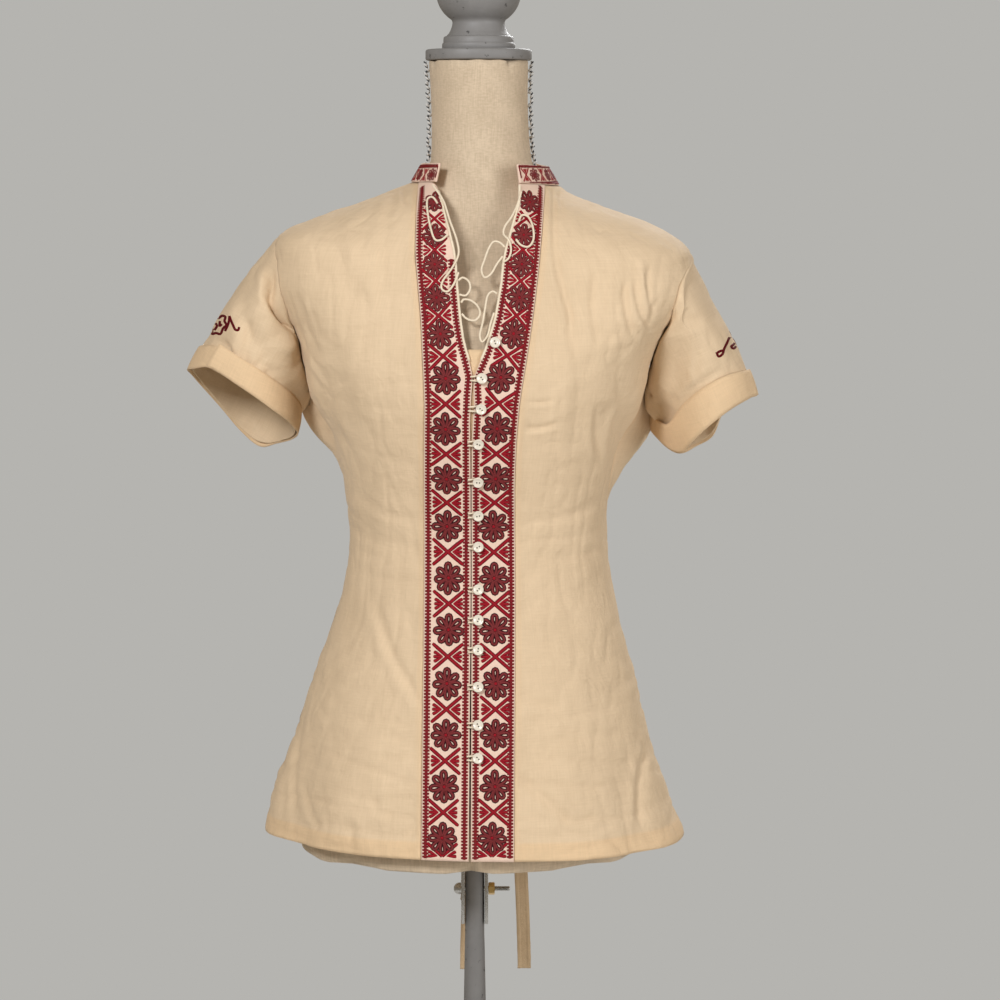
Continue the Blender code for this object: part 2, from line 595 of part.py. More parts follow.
def add_buttons():
    """Shell buttons on short shanks, all but the top one held by a loop from the other band."""
    shank, low, thick = 0.0014, 0.0027, 0.0020
    profile = ((0, low + thick - 0.0004), (BUTTON_RADIUS * 0.8, low + thick),
               (BUTTON_RADIUS, low + thick * 0.55), (BUTTON_RADIUS * 0.9, low), (shank, low),
               (shank, 0), (0, 0))
    disc = turned_mesh("button", profile, 10)
    disc.materials.append(SHELL)
    turn = CORD + shank + REST
    for number, height in enumerate(BUTTON_HEIGHTS, 1):
        x = band_edge("left_inner", height) + BUTTON_FROM_EDGE
        angle, place = front_place(x, height)
        normal = body_normal(angle, place)
        foot = body_point(angle, place, BAND_PROUD) + normal * SEAM
        button = bpy.data.objects.new(f"button_{number:02d}", disc)
        model.objects.link(button)
        stand_on(button, foot, normal)
        if number == 1:
            continue          # the top button hangs free, above the foot of the V
        start_x = band_edge("right_inner", height) - 0.0016
        up = Vector((0, 0, 1)) - normal * normal.z
        up.normalize()
        side = up.cross(normal)
        centre = foot + normal * CORD
        reach = (centre.x - start_x) / side.x
        points = [centre - side * reach - up * turn, centre - side * reach * 0.5 - up * turn]
        points += [centre - up * turn * math.cos(t) + side * turn * math.sin(t)
                   for t in (0, math.pi / 4, math.pi / 2, math.pi * 3 / 4, math.pi)]
        points += [centre - side * reach * 0.5 + up * turn, centre - side * reach + up * turn]
        add_tube(f"loop_{number:02d}", points, CORD, LOOP_CORD)


def add_hanging_loops():
    """The long loops of the V, which hang open."""
    for name, route in HANGING_LOOPS.items():
        add_tube("hanging_loop_" + name, smooth_route(route, 2 * len(route) - 1), CORD, LOOP_CORD)


add_buttons()
add_hanging_loops()


def add_ties():
    """The back ties: a belt from each side seam to a knot, and two ends that hang from it."""
    lay = 0.0012              # clear of the cloth's gathers
    knot_size = (0.0115, 0.0070, 0.0100)
    place = place_at_height(KNOT_ANGLE, TIE_HEIGHT)
    knot = body_point(KNOT_ANGLE, place, knot_size[1] + SEAM * 2)
    bpy.ops.mesh.primitive_uv_sphere_add(segments=12, ring_count=7, radius=1)
    ball = bpy.context.object.data
    bpy.data.objects.remove(bpy.context.object)
    ball.transform(Matrix.Diagonal((*knot_size, 1)))
    ball.shade_smooth()
    add_object("tie_knot", ball, COTTON).location = knot
    spread = math.degrees(knot_size[0] * 0.78 / 0.092)
    for side, start, end in (("left", 3, KNOT_ANGLE - spread), ("right", KNOT_ANGLE + spread, 177)):
        lines = []
        for z in (TIE_HEIGHT - TIE_WIDTH / 2, TIE_HEIGHT + TIE_WIDTH / 2):
            level = place_at_height(90, z)
            lines.append([body_point(start + (end - start) * i / 22, level, lay) for i in range(23)])
        add_cloth("tie_belt_" + side, lines, COTTON, TIE_THICK, outwards=True)
    for side, (foot_x, foot_z) in TIE_FEET.items():
        top_x = knot.x + (TIE_WIDTH / 2 + SEAM) * (1 if side == "left" else -1)
        top_z = TIE_HEIGHT - knot_size[2] - SEAM
        lines = []
        for i in range(17):
            t = i / 16
            z = foot_z + (top_z - foot_z) * t
            middle = foot_x + (top_x - foot_x) * t ** 1.4
            hang = max(body_point(angle_back, place_at_height(90, max(z, BODY_LEVELS[0][1]))).y
                       for angle_back in (70, 80, 90, 100))
            y = max(hang + 0.0030, knot.y - TIE_THICK / 2)
            lines.append([Vector((middle + across * TIE_WIDTH / 2, y, z)) for across in (1, 0, -1)])
        add_cloth("tie_end_" + side, lines, COTTON, TIE_THICK, outwards=True)


add_ties()


def form_levels():
    """The whole form: its trunk, the ridge that carries the cloth, and its neck."""
    names = [row[0] for row in BODY_LEVELS]
    levels = list(FORM_LEVELS)
    for name, front, back, narrower, lower in FORM_RIDGE:
        row = dict(zip(LEVEL_COLUMNS, BODY_LEVELS[names.index(name)][1:]))
        row["side_z"] -= CLOTH * 1.08 + REST + lower
        row["front_z"] -= 0.006
        row["back_z"] -= 0.006
        row["half_width"] -= narrower
        row["front_depth"], row["back_depth"] = front, back
        row["front_square"] = row["back_square"] = 2.1
        levels.append((name, *row.values()))
    return levels + list(NECK_LEVELS)


def add_form():
    """The linen form, closed at the bottom and under the cap."""
    levels = form_levels()
    angles = [360 * i / 28 for i in range(28)]
    lines = [[ring_point(level_at(levels, place), angle) for angle in angles]
             for place in row_places(levels)]
    mesh = sheet_mesh("torso_form", lines, closed=True)
    shape = bmesh.new()
    shape.from_mesh(mesh)
    bmesh.ops.holes_fill(shape, edges=shape.edges, sides=0)
    bmesh.ops.recalc_face_normals(shape, faces=shape.faces)
    shape.to_mesh(mesh)
    shape.free()
    add_object("torso_form", mesh, LINEN)


def add_trims():
    """The twisted cords down both side seams of the neck."""
    lift = TRIM_RADIUS + SEAM * 3
    levels = form_levels()
    first = len(levels) - len(NECK_LEVELS) + 0.6
    for side, angle in (("left", 0), ("right", 180)):
        points = []
        for i in range(12):
            level = level_at(levels, first + (len(levels) - 1.015 - first) * i / 11)
            points.append(ring_point(level, angle, lift))
        add_tube("neck_trim_" + side, points, TRIM_RADIUS, TRIM)


def add_cap():
    """The turned cap on the neck, with its finial."""
    top = NECK_LEVELS[-1][1] + SEAM
    profile = ((0, 0.1035), (0.014, 0.1010), (0.027, 0.0930), (0.0375, 0.0790), (0.0420, 0.0640),
               (0.0400, 0.0540), (0.0300, 0.0420), (0.0256, 0.0360), (0.0290, 0.0315),
               (0.0340, 0.0300), (0.0345, 0.0225), (0.0362, 0.0210), (0.0362, 0.0125),
               (0.0490, 0.0100), (0.0505, 0.0085), (0.0505, 0.0012), (0.0490, 0), (0, 0))
    cap = add_object("turned_cap", turned_mesh("turned_cap", profile, 28), GREY_WOOD)
    cap.location = (NECK_LEVELS[-1][5], 0, top)


def drilled(made, at, radius):
    """Cut a hole along X through an object."""
    bpy.ops.mesh.primitive_cylinder_add(vertices=12, radius=radius, depth=0.2, location=at,
                                        rotation=(0, math.pi / 2, 0))
    cutter = bpy.context.object
    cutter.name = "bolt_hole_" + made.name
    for home in cutter.users_collection:
        home.objects.unlink(cutter)
    cutters.objects.link(cutter)
    cutter.hide_render = True
    cutter.display_type = "WIRE"
    hole = made.modifiers.new("bolt_hole", "BOOLEAN")
    hole.object = cutter


def add_stand():
    """The round base, the pole, and the two straps that a bolt clamps on the pole."""
    base = ((0, BASE_HEIGHT), (0.024, BASE_HEIGHT), (0.030, BASE_HEIGHT - 0.004),
            (0.036, 0.0240), (0.060, 0.0205), (BASE_RADIUS - 0.012, 0.0165),
            (BASE_RADIUS, 0.0120), (BASE_RADIUS, 0.0020), (BASE_RADIUS - 0.003, 0), (0, 0))
    add_object("round_base", turned_mesh("round_base", base, 40), GREY_WOOD)
    foot, top = BASE_HEIGHT + SEAM, FORM_BOTTOM - SEAM
    taper = ((0, top), (POLE_TOP_RADIUS, top), (POLE_TOP_RADIUS, 0.600),
             (POLE_FOOT_RADIUS, 0.480), (POLE_FOOT_RADIUS, 0.060),
             (POLE_FOOT_RADIUS + 0.004, 0.048), (POLE_FOOT_RADIUS + 0.004, foot), (0, foot))
    pole = add_object("pole", turned_mesh("pole", taper, 20), GREY_WOOD)
    bore = BOLT_RADIUS + SEAM
    drilled(pole, (0, 0, BOLT_HEIGHT), bore)
    inner = POLE_TOP_RADIUS + SEAM
    for side, away in (("left", 1), ("right", -1)):
        bpy.ops.mesh.primitive_cube_add(size=1)
        strap = bpy.context.object
        box = strap.data
        bpy.data.objects.remove(strap)
        box.transform(Matrix.Diagonal((STRAP_THICK, STRAP_WIDTH, STRAP_LENGTH, 1)))
        box.transform(Matrix.Translation((away * (inner + STRAP_THICK / 2), 0,
                                          FORM_BOTTOM - SEAM - STRAP_LENGTH / 2)))
        strap = add_object("strap_" + side, box, STEEL)
        drilled(strap, (0, 0, BOLT_HEIGHT), bore)
    out = inner + STRAP_THICK + SEAM
    lengthwise = Matrix.Rotation(math.pi / 2, 4, "Y")
    nut = ((0.0030, 0.0062), (0.0058, 0.0052), (0.0062, 0.0030), (0.0062, 0), (bore, 0),
           (bore, 0.0062), (0.0030, 0.0062))
    bolt = ((0, 0.0345), (BOLT_RADIUS - 0.0006, 0.0345), (BOLT_RADIUS, 0.0336),
            (BOLT_RADIUS, -out), (0.0058, -out), (0.0058, -out - 0.0014),
            (0.0050, -out - 0.0044), (0.0026, -out - 0.0066), (0, -out - 0.0072))
    for name, profile, material, place in (
            ("clamp_bolt", bolt, STEEL, 0), ("brass_nut", nut, BRASS, out)):
        mesh = turned_mesh(name, profile, 14)
        mesh.transform(Matrix.Translation((place, 0, BOLT_HEIGHT)) @ lengthwise)
        add_object(name, mesh, material)


add_form()
add_trims()
add_cap()
add_stand()
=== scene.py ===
import math

import bmesh
import bpy
import numpy as np
from mathutils import Matrix, Vector, noise
from mathutils.bvhtree import BVHTree


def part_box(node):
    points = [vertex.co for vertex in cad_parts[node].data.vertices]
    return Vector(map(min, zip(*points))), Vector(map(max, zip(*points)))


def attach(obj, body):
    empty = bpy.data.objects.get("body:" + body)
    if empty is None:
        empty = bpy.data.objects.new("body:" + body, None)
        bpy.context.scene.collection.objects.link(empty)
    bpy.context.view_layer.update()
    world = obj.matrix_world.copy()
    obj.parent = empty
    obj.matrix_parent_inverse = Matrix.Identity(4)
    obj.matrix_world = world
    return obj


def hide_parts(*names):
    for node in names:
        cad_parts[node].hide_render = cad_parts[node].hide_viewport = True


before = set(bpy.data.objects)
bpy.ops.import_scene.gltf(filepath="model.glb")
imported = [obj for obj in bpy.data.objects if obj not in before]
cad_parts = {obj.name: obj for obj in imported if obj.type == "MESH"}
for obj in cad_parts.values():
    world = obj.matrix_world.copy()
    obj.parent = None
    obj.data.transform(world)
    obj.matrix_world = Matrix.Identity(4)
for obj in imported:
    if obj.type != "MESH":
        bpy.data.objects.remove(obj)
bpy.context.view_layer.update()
home = bpy.context.scene.collection


# The view: the camera stands nearly three metres in front, at the height of the neck, and
# looks a little down. Soft studio light comes from the upper left, on a plain pale floor.
camera_data = bpy.data.cameras.new("camera")
camera_data.lens = 108
camera_data.sensor_width = 36
camera = bpy.data.objects.new("camera", camera_data)
camera.location = (0.0248, -2.88, 1.36)
camera.rotation_euler = (math.radians(90 - 6.5), 0, 0)
home.objects.link(camera)
bpy.context.scene.camera = camera

bpy.context.scene.view_settings.view_transform = "Standard"

studio = bpy.data.worlds.new("studio")
studio.use_nodes = True
sky = studio.node_tree.nodes["Background"]
seen = studio.node_tree.nodes.new("ShaderNodeLightPath")
wall = studio.node_tree.nodes.new("ShaderNodeMix")
wall.data_type = "RGBA"
wall.inputs[6].default_value = (0.262, 0.228, 0.180, 1)
wall.inputs[7].default_value = (0.463, 0.456, 0.434, 1)
studio.node_tree.links.new(seen.outputs["Is Camera Ray"], wall.inputs[0])
studio.node_tree.links.new(wall.outputs[2], sky.inputs["Color"])
bpy.context.scene.world = studio


def add_light(name, place, target, size, power, color):
    """A soft square lamp that faces a point."""
    lamp = bpy.data.lights.new(name, "AREA")
    lamp.size = size
    lamp.energy = power
    lamp.color = color
    made = bpy.data.objects.new(name, lamp)
    made.location = place
    made.rotation_euler = (Vector(target) - Vector(place)).to_track_quat("-Z", "Y").to_euler()
    home.objects.link(made)


add_light("window", (-1.35, -2.85, 2.55), (0, 0, 1.1), 0.7, 84, (0.93, 0.955, 1.0))
add_light("bounce", (2.3, -2.3, 1.5), (0, 0, 1.1), 1.4, 50, (0.93, 0.955, 1.0))
add_light("rear_window", (0.8, 2.6, 2.6), (0, 0, 1.1), 1.4, 70, (0.98, 0.99, 1))

bpy.ops.object.select_all(action="DESELECT")
bpy.ops.mesh.primitive_circle_add(vertices=96, radius=1.5, fill_type="NGON", location=(0, 0, -0.0006))
floor = bpy.context.object
floor.name = "floor"
pale = bpy.data.materials.new("pale_floor")
pale.use_nodes = True
pale.node_tree.nodes["Principled BSDF"].inputs["Base Color"].default_value = (0.62, 0.61, 0.58, 1)
pale.node_tree.nodes["Principled BSDF"].inputs["Roughness"].default_value = 0.8
floor.data.materials.append(pale)


# Materials are built from nodes. A thread group gives fine yarns in two directions, and a
# blotch group the slow, uneven tone of washed cloth and handled paint.
def group_socket(group, name, kind, way, value=None):
    """One named input or output of a node group."""
    socket = group.interface.new_socket(name=name, in_out=way, socket_type=kind)
    if value is not None:
        socket.default_value = value
    return socket


def add_node(tree, kind, inputs=None, **settings):
    """A node with its settings and its plain input values or links."""
    node = tree.nodes.new(kind)
    for key, value in settings.items():
        setattr(node, key, value)
    for key, value in (inputs or {}).items():
        if isinstance(value, bpy.types.NodeSocket):
            tree.links.new(value, node.inputs[key])
        else:
            node.inputs[key].default_value = value
    return node


def arithmetic(tree, operation, first, second=0.0, third=0.0):
    """A Math node; returns its output."""
    return add_node(tree, "ShaderNodeMath", {0: first, 1: second, 2: third}, operation=operation).outputs[0]


def blended(tree, factor, first, second, way="MIX"):
    """A colour Mix node; returns its output."""
    node = tree.nodes.new("ShaderNodeMix")
    node.data_type = "RGBA"
    node.blend_type = way
    for key, value in ((0, factor), (6, first), (7, second)):
        if isinstance(value, bpy.types.NodeSocket):
            tree.links.new(value, node.inputs[key])
        else:
            node.inputs[key].default_value = value
    return node.outputs[2]


# Yarns: a plain weave of two sets of threads, each thread a little thicker or thinner on
# its way. It takes metres of cloth and gives the height, and the streaks that show as tone.
weave = bpy.data.node_groups.new("plain_weave", "ShaderNodeTree")
group_socket(weave, "Vector", "NodeSocketVector", "INPUT")
group_socket(weave, "Threads per metre", "NodeSocketFloat", "INPUT", 2200.0)
group_socket(weave, "Slub length", "NodeSocketFloat", "INPUT", 0.02)
group_socket(weave, "Height", "NodeSocketFloat", "OUTPUT")
group_socket(weave, "Streaks", "NodeSocketFloat", "OUTPUT")
into = add_node(weave, "NodeGroupInput")
out_of = add_node(weave, "NodeGroupOutput")
cloth_place = add_node(weave, "ShaderNodeSeparateXYZ", {0: into.outputs["Vector"]})
per_metre = into.outputs["Threads per metre"]
yarns, streaks = [], []
for across, along in ((0, 1), (1, 0)):
    turn = arithmetic(weave, "MULTIPLY", cloth_place.outputs[across], per_metre)
    yarns.append(arithmetic(weave, "SINE", arithmetic(weave, "MULTIPLY", turn, 2 * math.pi)))
    run = arithmetic(weave, "DIVIDE", cloth_place.outputs[along], into.outputs["Slub length"])
    drift = add_node(weave, "ShaderNodeCombineXYZ", {
        0: arithmetic(weave, "MULTIPLY", turn, 0.42), 1: run, 2: 3.7 * along})
    streaks.append(add_node(weave, "ShaderNodeTexNoise", {
        "Vector": drift.outputs[0], "Scale": 1.0, "Detail": 2.0, "Roughness": 0.6}).outputs["Fac"])
weave.links.new(arithmetic(weave, "MULTIPLY", yarns[0], yarns[1]), out_of.inputs["Height"])
weave.links.new(arithmetic(weave, "MULTIPLY", arithmetic(weave, "ADD", *streaks), 0.5),
                out_of.inputs["Streaks"])

# Blotches: slow changes of tone, from patches as large as a hand to ones as small as a nail.
blotch = bpy.data.node_groups.new("uneven_tone", "ShaderNodeTree")
group_socket(blotch, "Vector", "NodeSocketVector", "INPUT")
group_socket(blotch, "Patch size", "NodeSocketFloat", "INPUT", 0.08)
group_socket(blotch, "Tone", "NodeSocketFloat", "OUTPUT")
into = add_node(blotch, "NodeGroupInput")
out_of = add_node(blotch, "NodeGroupOutput")
scale = arithmetic(blotch, "DIVIDE", 1.0, into.outputs["Patch size"])
patches = add_node(blotch, "ShaderNodeTexNoise", {
    "Vector": into.outputs["Vector"], "Scale": scale, "Detail": 5.0, "Roughness": 0.55})
blotch.links.new(patches.outputs["Fac"], out_of.inputs["Tone"])


def group_node(tree, group, **values):
    """A shared effect placed in a material with its own values."""
    node = tree.nodes.new("ShaderNodeGroup")
    node.node_tree = group
    for key, value in values.items():
        name = key.replace("_", " ")
        if isinstance(value, bpy.types.NodeSocket):
            tree.links.new(value, node.inputs[name])
        else:
            node.inputs[name].default_value = value
    return node


def new_material(name, roughness, metallic=0.0, sheen=0.0, coat=0.0, shine=0.5):
    """A material with its shader; returns it, its tree and the shader."""
    made = bpy.data.materials.new(name)
    made.use_nodes = True
    shader = made.node_tree.nodes["Principled BSDF"]
    shader.inputs["Roughness"].default_value = roughness
    shader.inputs["Metallic"].default_value = metallic
    shader.inputs["Sheen Weight"].default_value = sheen
    shader.inputs["Coat Weight"].default_value = coat
    shader.inputs["Specular IOR Level"].default_value = shine
    return made, made.node_tree, shader


def dress_cloth(name, single, double, sheen, threads, slub, weave_depth, streak, patch, tone, crumple=0.0, deepest=0.72):
    """Plain-woven cloth on a UV map in metres. Attribute "layers" says where it lies double."""
    made, tree, shader = new_material(name, 0.86, sheen=sheen, shine=0.2)
    shader.inputs["Sheen Roughness"].default_value = 0.45
    place = add_node(tree, "ShaderNodeUVMap", uv_map="cloth").outputs[0]
    yarn = group_node(tree, weave, Vector=place, Threads_per_metre=threads, Slub_length=slub)
    solid = add_node(tree, "ShaderNodeTexCoord").outputs["Object"]
    uneven = group_node(tree, blotch, Vector=solid, Patch_size=patch)
    layers = add_node(tree, "ShaderNodeAttribute", attribute_name="layers").outputs["Fac"]
    base = blended(tree, layers, (*single, 1), (*double, 1))
    dark = (single[0] * deepest, single[1] * deepest ** 1.1, single[2] * deepest ** 1.3)
    shade = arithmetic(tree, "MULTIPLY_ADD", arithmetic(tree, "SUBTRACT", yarn.outputs["Streaks"], 0.5), streak, 0.5)
    shade = arithmetic(tree, "MULTIPLY_ADD", arithmetic(tree, "SUBTRACT", uneven.outputs["Tone"], 0.5), tone, shade)
    light = add_node(tree, "ShaderNodeMapRange", {"Value": shade, "From Min": 0.1, "From Max": 0.9,
                                                  "To Min": 0.45, "To Max": 0.0})
    tree.links.new(blended(tree, light.outputs[0], base, (*dark, 1)), shader.inputs["Base Color"])
    height = arithmetic(tree, "MULTIPLY_ADD", yarn.outputs["Streaks"], 2.0, yarn.outputs["Height"])
    rough = add_node(tree, "ShaderNodeTexNoise", {"Vector": solid, "Scale": 95.0, "Detail": 3.0,
                                                  "Roughness": 0.55, "Distortion": 0.8}).outputs["Fac"]
    fold = add_node(tree, "ShaderNodeBump", {"Height": rough, "Strength": crumple, "Distance": 0.0022})
    bump = add_node(tree, "ShaderNodeBump", {"Height": height, "Strength": 0.35, "Distance": weave_depth,
                                             "Normal": fold.outputs[0]})
    tree.links.new(bump.outputs[0], shader.inputs["Normal"])
    return made


# The rouleau loops that hang open along the V: narrow tubes of the same cotton, 2 mm thick,
# each sewn at both ends to a band's edge. Their routes are the solids' own.
loop_cotton, tree, shader = new_material("loop_cotton", 0.8, sheen=0.1, shine=0.2)
solid = add_node(tree, "ShaderNodeTexCoord").outputs["Object"]
twist = add_node(tree, "ShaderNodeTexNoise", {"Vector": solid, "Scale": 1400.0, "Detail": 2.0}).outputs["Fac"]
uneven = group_node(tree, blotch, Vector=solid, Patch_size=0.008)
tree.links.new(blended(tree, arithmetic(tree, "MULTIPLY", twist, uneven.outputs["Tone"]), (0.88, 0.76, 0.58, 1),
                       (0.50, 0.38, 0.25, 1)), shader.inputs["Base Color"])
bump = add_node(tree, "ShaderNodeBump", {"Height": twist, "Strength": 0.4, "Distance": 0.0003})
tree.links.new(bump.outputs[0], shader.inputs["Normal"])
LOOP_RADIUS = 0.0010
HANGING_LOOPS = {
    "right_edge": (
        (-0.0378, -0.0646, 1.3352), (-0.0278, -0.0761, 1.3204), (-0.0216, -0.0909, 1.3023),
        (-0.0154, -0.0992, 1.2857), (-0.0135, -0.1041, 1.2718), (-0.0203, -0.1082, 1.2581),
        (-0.0277, -0.1106, 1.2481), (-0.0291, -0.1122, 1.2408), (-0.0235, -0.1127, 1.2380),
        (-0.0175, -0.1111, 1.2453), (-0.0134, -0.1087, 1.2554)),
    "right_over": (
        (-0.0333, -0.0766, 1.3183), (-0.0377, -0.0706, 1.3238), (-0.0426, -0.0694, 1.3224),
        (-0.0429, -0.0791, 1.3140), (-0.0402, -0.0919, 1.2989), (-0.0357, -0.0994, 1.2859),
        (-0.0297, -0.0999, 1.2850), (-0.0237, -0.0978, 1.2896)),
    "right_upper": (
        (-0.0136, -0.1086, 1.2480), (-0.0096, -0.1080, 1.2506), (-0.0042, -0.1086, 1.2474),
        (-0.0026, -0.1103, 1.2406), (-0.0066, -0.1117, 1.2344), (-0.0127, -0.1115, 1.2352)),
    "right_lower": (
        (-0.0111, -0.1134, 1.2277), (-0.0084, -0.1124, 1.2307), (-0.0024, -0.1125, 1.2298),
        (0.0041, -0.1135, 1.2248), (0.0064, -0.1151, 1.2175), (0.0018, -0.1164, 1.2116),
        (-0.0056, -0.1162, 1.2130), (-0.0104, -0.1158, 1.2177)),
    "left_edge": (
        (0.0447, -0.0781, 1.3295), (0.0411, -0.0786, 1.3175), (0.0356, -0.0880, 1.3061),
        (0.0295, -0.0933, 1.2976), (0.0281, -0.0969, 1.2903), (0.0331, -0.0997, 1.2844),
        (0.0350, -0.1029, 1.2756), (0.0326, -0.1050, 1.2682), (0.0280, -0.1055, 1.2649)),
    "left_over": (
        (0.0421, -0.0908, 1.3016), (0.0450, -0.0864, 1.3074), (0.0510, -0.0867, 1.3060),
        (0.0551, -0.0924, 1.2971), (0.0558, -0.0987, 1.2859), (0.0512, -0.1017, 1.2789),
        (0.0442, -0.1013, 1.2803), (0.0396, -0.0993, 1.2854)),
    "left_upper": (
        (0.0292, -0.1000, 1.2784), (0.0248, -0.0988, 1.2824), (0.0188, -0.0984, 1.2833),
        (0.0142, -0.1007, 1.2769), (0.0105, -0.1036, 1.2668), (0.0077, -0.1060, 1.2577),
        (0.0105, -0.1077, 1.2508), (0.0165, -0.1068, 1.2540), (0.0220, -0.1045, 1.2631),
        (0.0271, -0.1024, 1.2699)),
    "left_lower": (
        (0.0221, -0.1114, 1.2359), (0.0179, -0.1106, 1.2380), (0.0133, -0.1115, 1.2339),
        (0.0110, -0.1140, 1.2221), (0.0088, -0.1170, 1.2094), (0.0062, -0.1196, 1.1985),
        (0.0082, -0.1211, 1.1921), (0.0132, -0.1198, 1.1976), (0.0163, -0.1169, 1.2094),
        (0.0193, -0.1152, 1.2186)),
}


def smooth_route(points, steps):
    """A smooth route through points, with some steps from each to the next."""
    ends = [tuple(2 * a - b for a, b in zip(points[0], points[1]))]
    ends += list(points) + [tuple(2 * a - b for a, b in zip(points[-1], points[-2]))]
    route = []
    for before, here, there, after in zip(ends, ends[1:], ends[2:], ends[3:]):
        for k in range(steps):
            t = k / steps
            route.append(Vector([
                0.5 * (2 * b + (c - a) * t + (2 * a - 5 * b + 4 * c - d) * t * t
                       + (3 * b - a - 3 * c + d) * t ** 3)
                for a, b, c, d in zip(before, here, there, after)]))
    return route + [Vector(points[-1])]


def lay_cord(name, route, radius, sides=2):
    """A round cord along a route, as one open curve."""
    curve = bpy.data.curves.new(name, "CURVE")
    curve.dimensions = "3D"
    curve.bevel_depth = radius
    curve.bevel_resolution = sides
    curve.use_fill_caps = True
    spline = curve.splines.new("POLY")
    spline.points.add(len(route) - 1)
    for knot, point in zip(spline.points, route):
        knot.co = (*point, 1)
    spline.use_smooth = True
    made = bpy.data.objects.new(name, curve)
    home.objects.link(made)
    return made


for side, points in HANGING_LOOPS.items():
    route = smooth_route(points, 4)
    loop = lay_cord("open_loop_" + side, route, LOOP_RADIUS, 3)
    loop.data.materials.append(loop_cotton)
    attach(loop, "root")
    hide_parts("hanging_loop_" + side)


# The torso form: a firm, limbless shape, covered with one layer of flecked linen that is
# stretched over it and seamed at the sides. The top hangs from its shoulders.
linen = dress_cloth("flecked_linen", (0.672, 0.533, 0.378), (0.672, 0.533, 0.378), 0.08,
                    1500, 0.012, 0.00026, 3.0, 0.02, 1.2, deepest=0.58)


def paint_layers(made, values):
    """Write the share of double cloth of every vertex."""
    layer = made.data.attributes.new("layers", "FLOAT", "POINT")
    layer.data.foreach_set("value", np.asarray(values, np.float32))


def cloth_map(made, u, v):
    """The UV map of a cloth, in metres, from two numbers a vertex."""
    mesh = made.data
    layer = mesh.uv_layers.new(name="cloth")
    loops = np.zeros(len(mesh.loops), np.int32)
    mesh.loops.foreach_get("vertex_index", loops)
    uv = np.stack([np.asarray(u)[loops], np.asarray(v)[loops]], 1).astype(np.float32)
    layer.data.foreach_set("uv", uv.ravel())


def vertex_places(made):
    """The places of a mesh's vertices as an array."""
    co = np.zeros(len(made.data.vertices) * 3, np.float32)
    made.data.vertices.foreach_get("co", co)
    return co.reshape(-1, 3).astype(float)


def vertex_normals(made):
    """The normals of a mesh's vertices as an array."""
    return np.array([v.normal[:] for v in made.data.vertices])


def set_places(made, places):
    """Move a mesh's vertices."""
    made.data.vertices.foreach_set("co", places.astype(np.float32).ravel())
    made.data.update()


def cloth_surface(node, name, levels, rim=0.0026, facing=None, sharp=None):
    """The outer face of a cloth node as a fine, smooth surface."""
    shape = bmesh.new()
    shape.from_mesh(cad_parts[node].data)
    bmesh.ops.remove_doubles(shape, verts=shape.verts, dist=0.00001)
    bmesh.ops.join_triangles(shape, faces=shape.faces, angle_face_threshold=math.pi,
                             angle_shape_threshold=math.pi)
    thin = [f for f in shape.faces if min(e.calc_length() for e in f.edges) < rim]
    bmesh.ops.delete(shape, geom=thin, context="FACES_ONLY")
    seen, sides = set(), []
    for face in shape.faces:
        if face in seen:
            continue
        side, waiting = [], [face]
        seen.add(face)
        while waiting:
            one = waiting.pop()
            side.append(one)
            for edge in one.edges:
                for other in edge.link_faces:
                    if other not in seen:
                        seen.add(other)
                        waiting.append(other)
        sides.append(side)
    if facing is None:
        keep = max(sides, key=lambda side: sum(f.calc_area() for f in side))
    else:
        keep = max(sides, key=lambda side: sum(f.normal.dot(Vector(facing)) * f.calc_area() for f in side))
    kept = set(keep)
    bmesh.ops.delete(shape, geom=[f for f in shape.faces if f not in kept], context="FACES_ONLY")
    bmesh.ops.delete(shape, geom=[e for e in shape.edges if not e.link_faces], context="EDGES")
    bmesh.ops.delete(shape, geom=[v for v in shape.verts if not v.link_faces], context="VERTS")
    if sharp:
        hard = shape.edges.layers.float.new("crease_edge")
        for edge in shape.edges:
            if len(edge.link_faces) == 2 and edge.calc_face_angle() > sharp:
                edge[hard] = 0.8
    mesh = bpy.data.meshes.new(name)
    shape.to_mesh(mesh)
    shape.free()
    made = bpy.data.objects.new(name, mesh)
    home.objects.link(made)
    finer = made.modifiers.new("finer", "SUBSURF")
    finer.levels = levels
    finer.render_levels = levels
    finer.boundary_smooth = "PRESERVE_CORNERS"
    apply_all(made)
    return made


def apply_all(made):
    """Apply every modifier of an object."""
    bpy.ops.object.select_all(action="DESELECT")
    bpy.context.view_layer.objects.active = made
    made.select_set(True)
    for modifier in list(made.modifiers):
        bpy.ops.object.modifier_apply(modifier=modifier.name)
    made.data.shade_smooth()


def relax(made, times):
    """Even out the surface, its open edges held."""
    shape = bmesh.new()
    shape.from_mesh(made.data)
    inner = [v for v in shape.verts if not v.is_boundary]
    for _ in range(times):
        bmesh.ops.smooth_vert(shape, verts=inner, factor=0.5, use_axis_x=True, use_axis_y=True,
                              use_axis_z=True)
    shape.to_mesh(made.data)
    shape.free()


def thicken(made, thickness, rim_only=False):
    """Give a surface its wall, inwards."""
    wall = made.modifiers.new("wall", "SOLIDIFY")
    wall.thickness = thickness
    wall.offset = -1
    wall.use_rim_only = rim_only
    apply_all(made)


def tree_of(made):
    """A search tree of a mesh, for laying things on it."""
    return BVHTree.FromObject(made, bpy.context.evaluated_depsgraph_get())


def finish_piece(made, material, slot, *nodes):
    """Material, body and the CAD nodes that a piece stands for. The slot argument is not used."""
    made.data.materials.clear()
    made.data.materials.append(material)
    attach(made, "root")
    if nodes:
        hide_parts(*nodes)


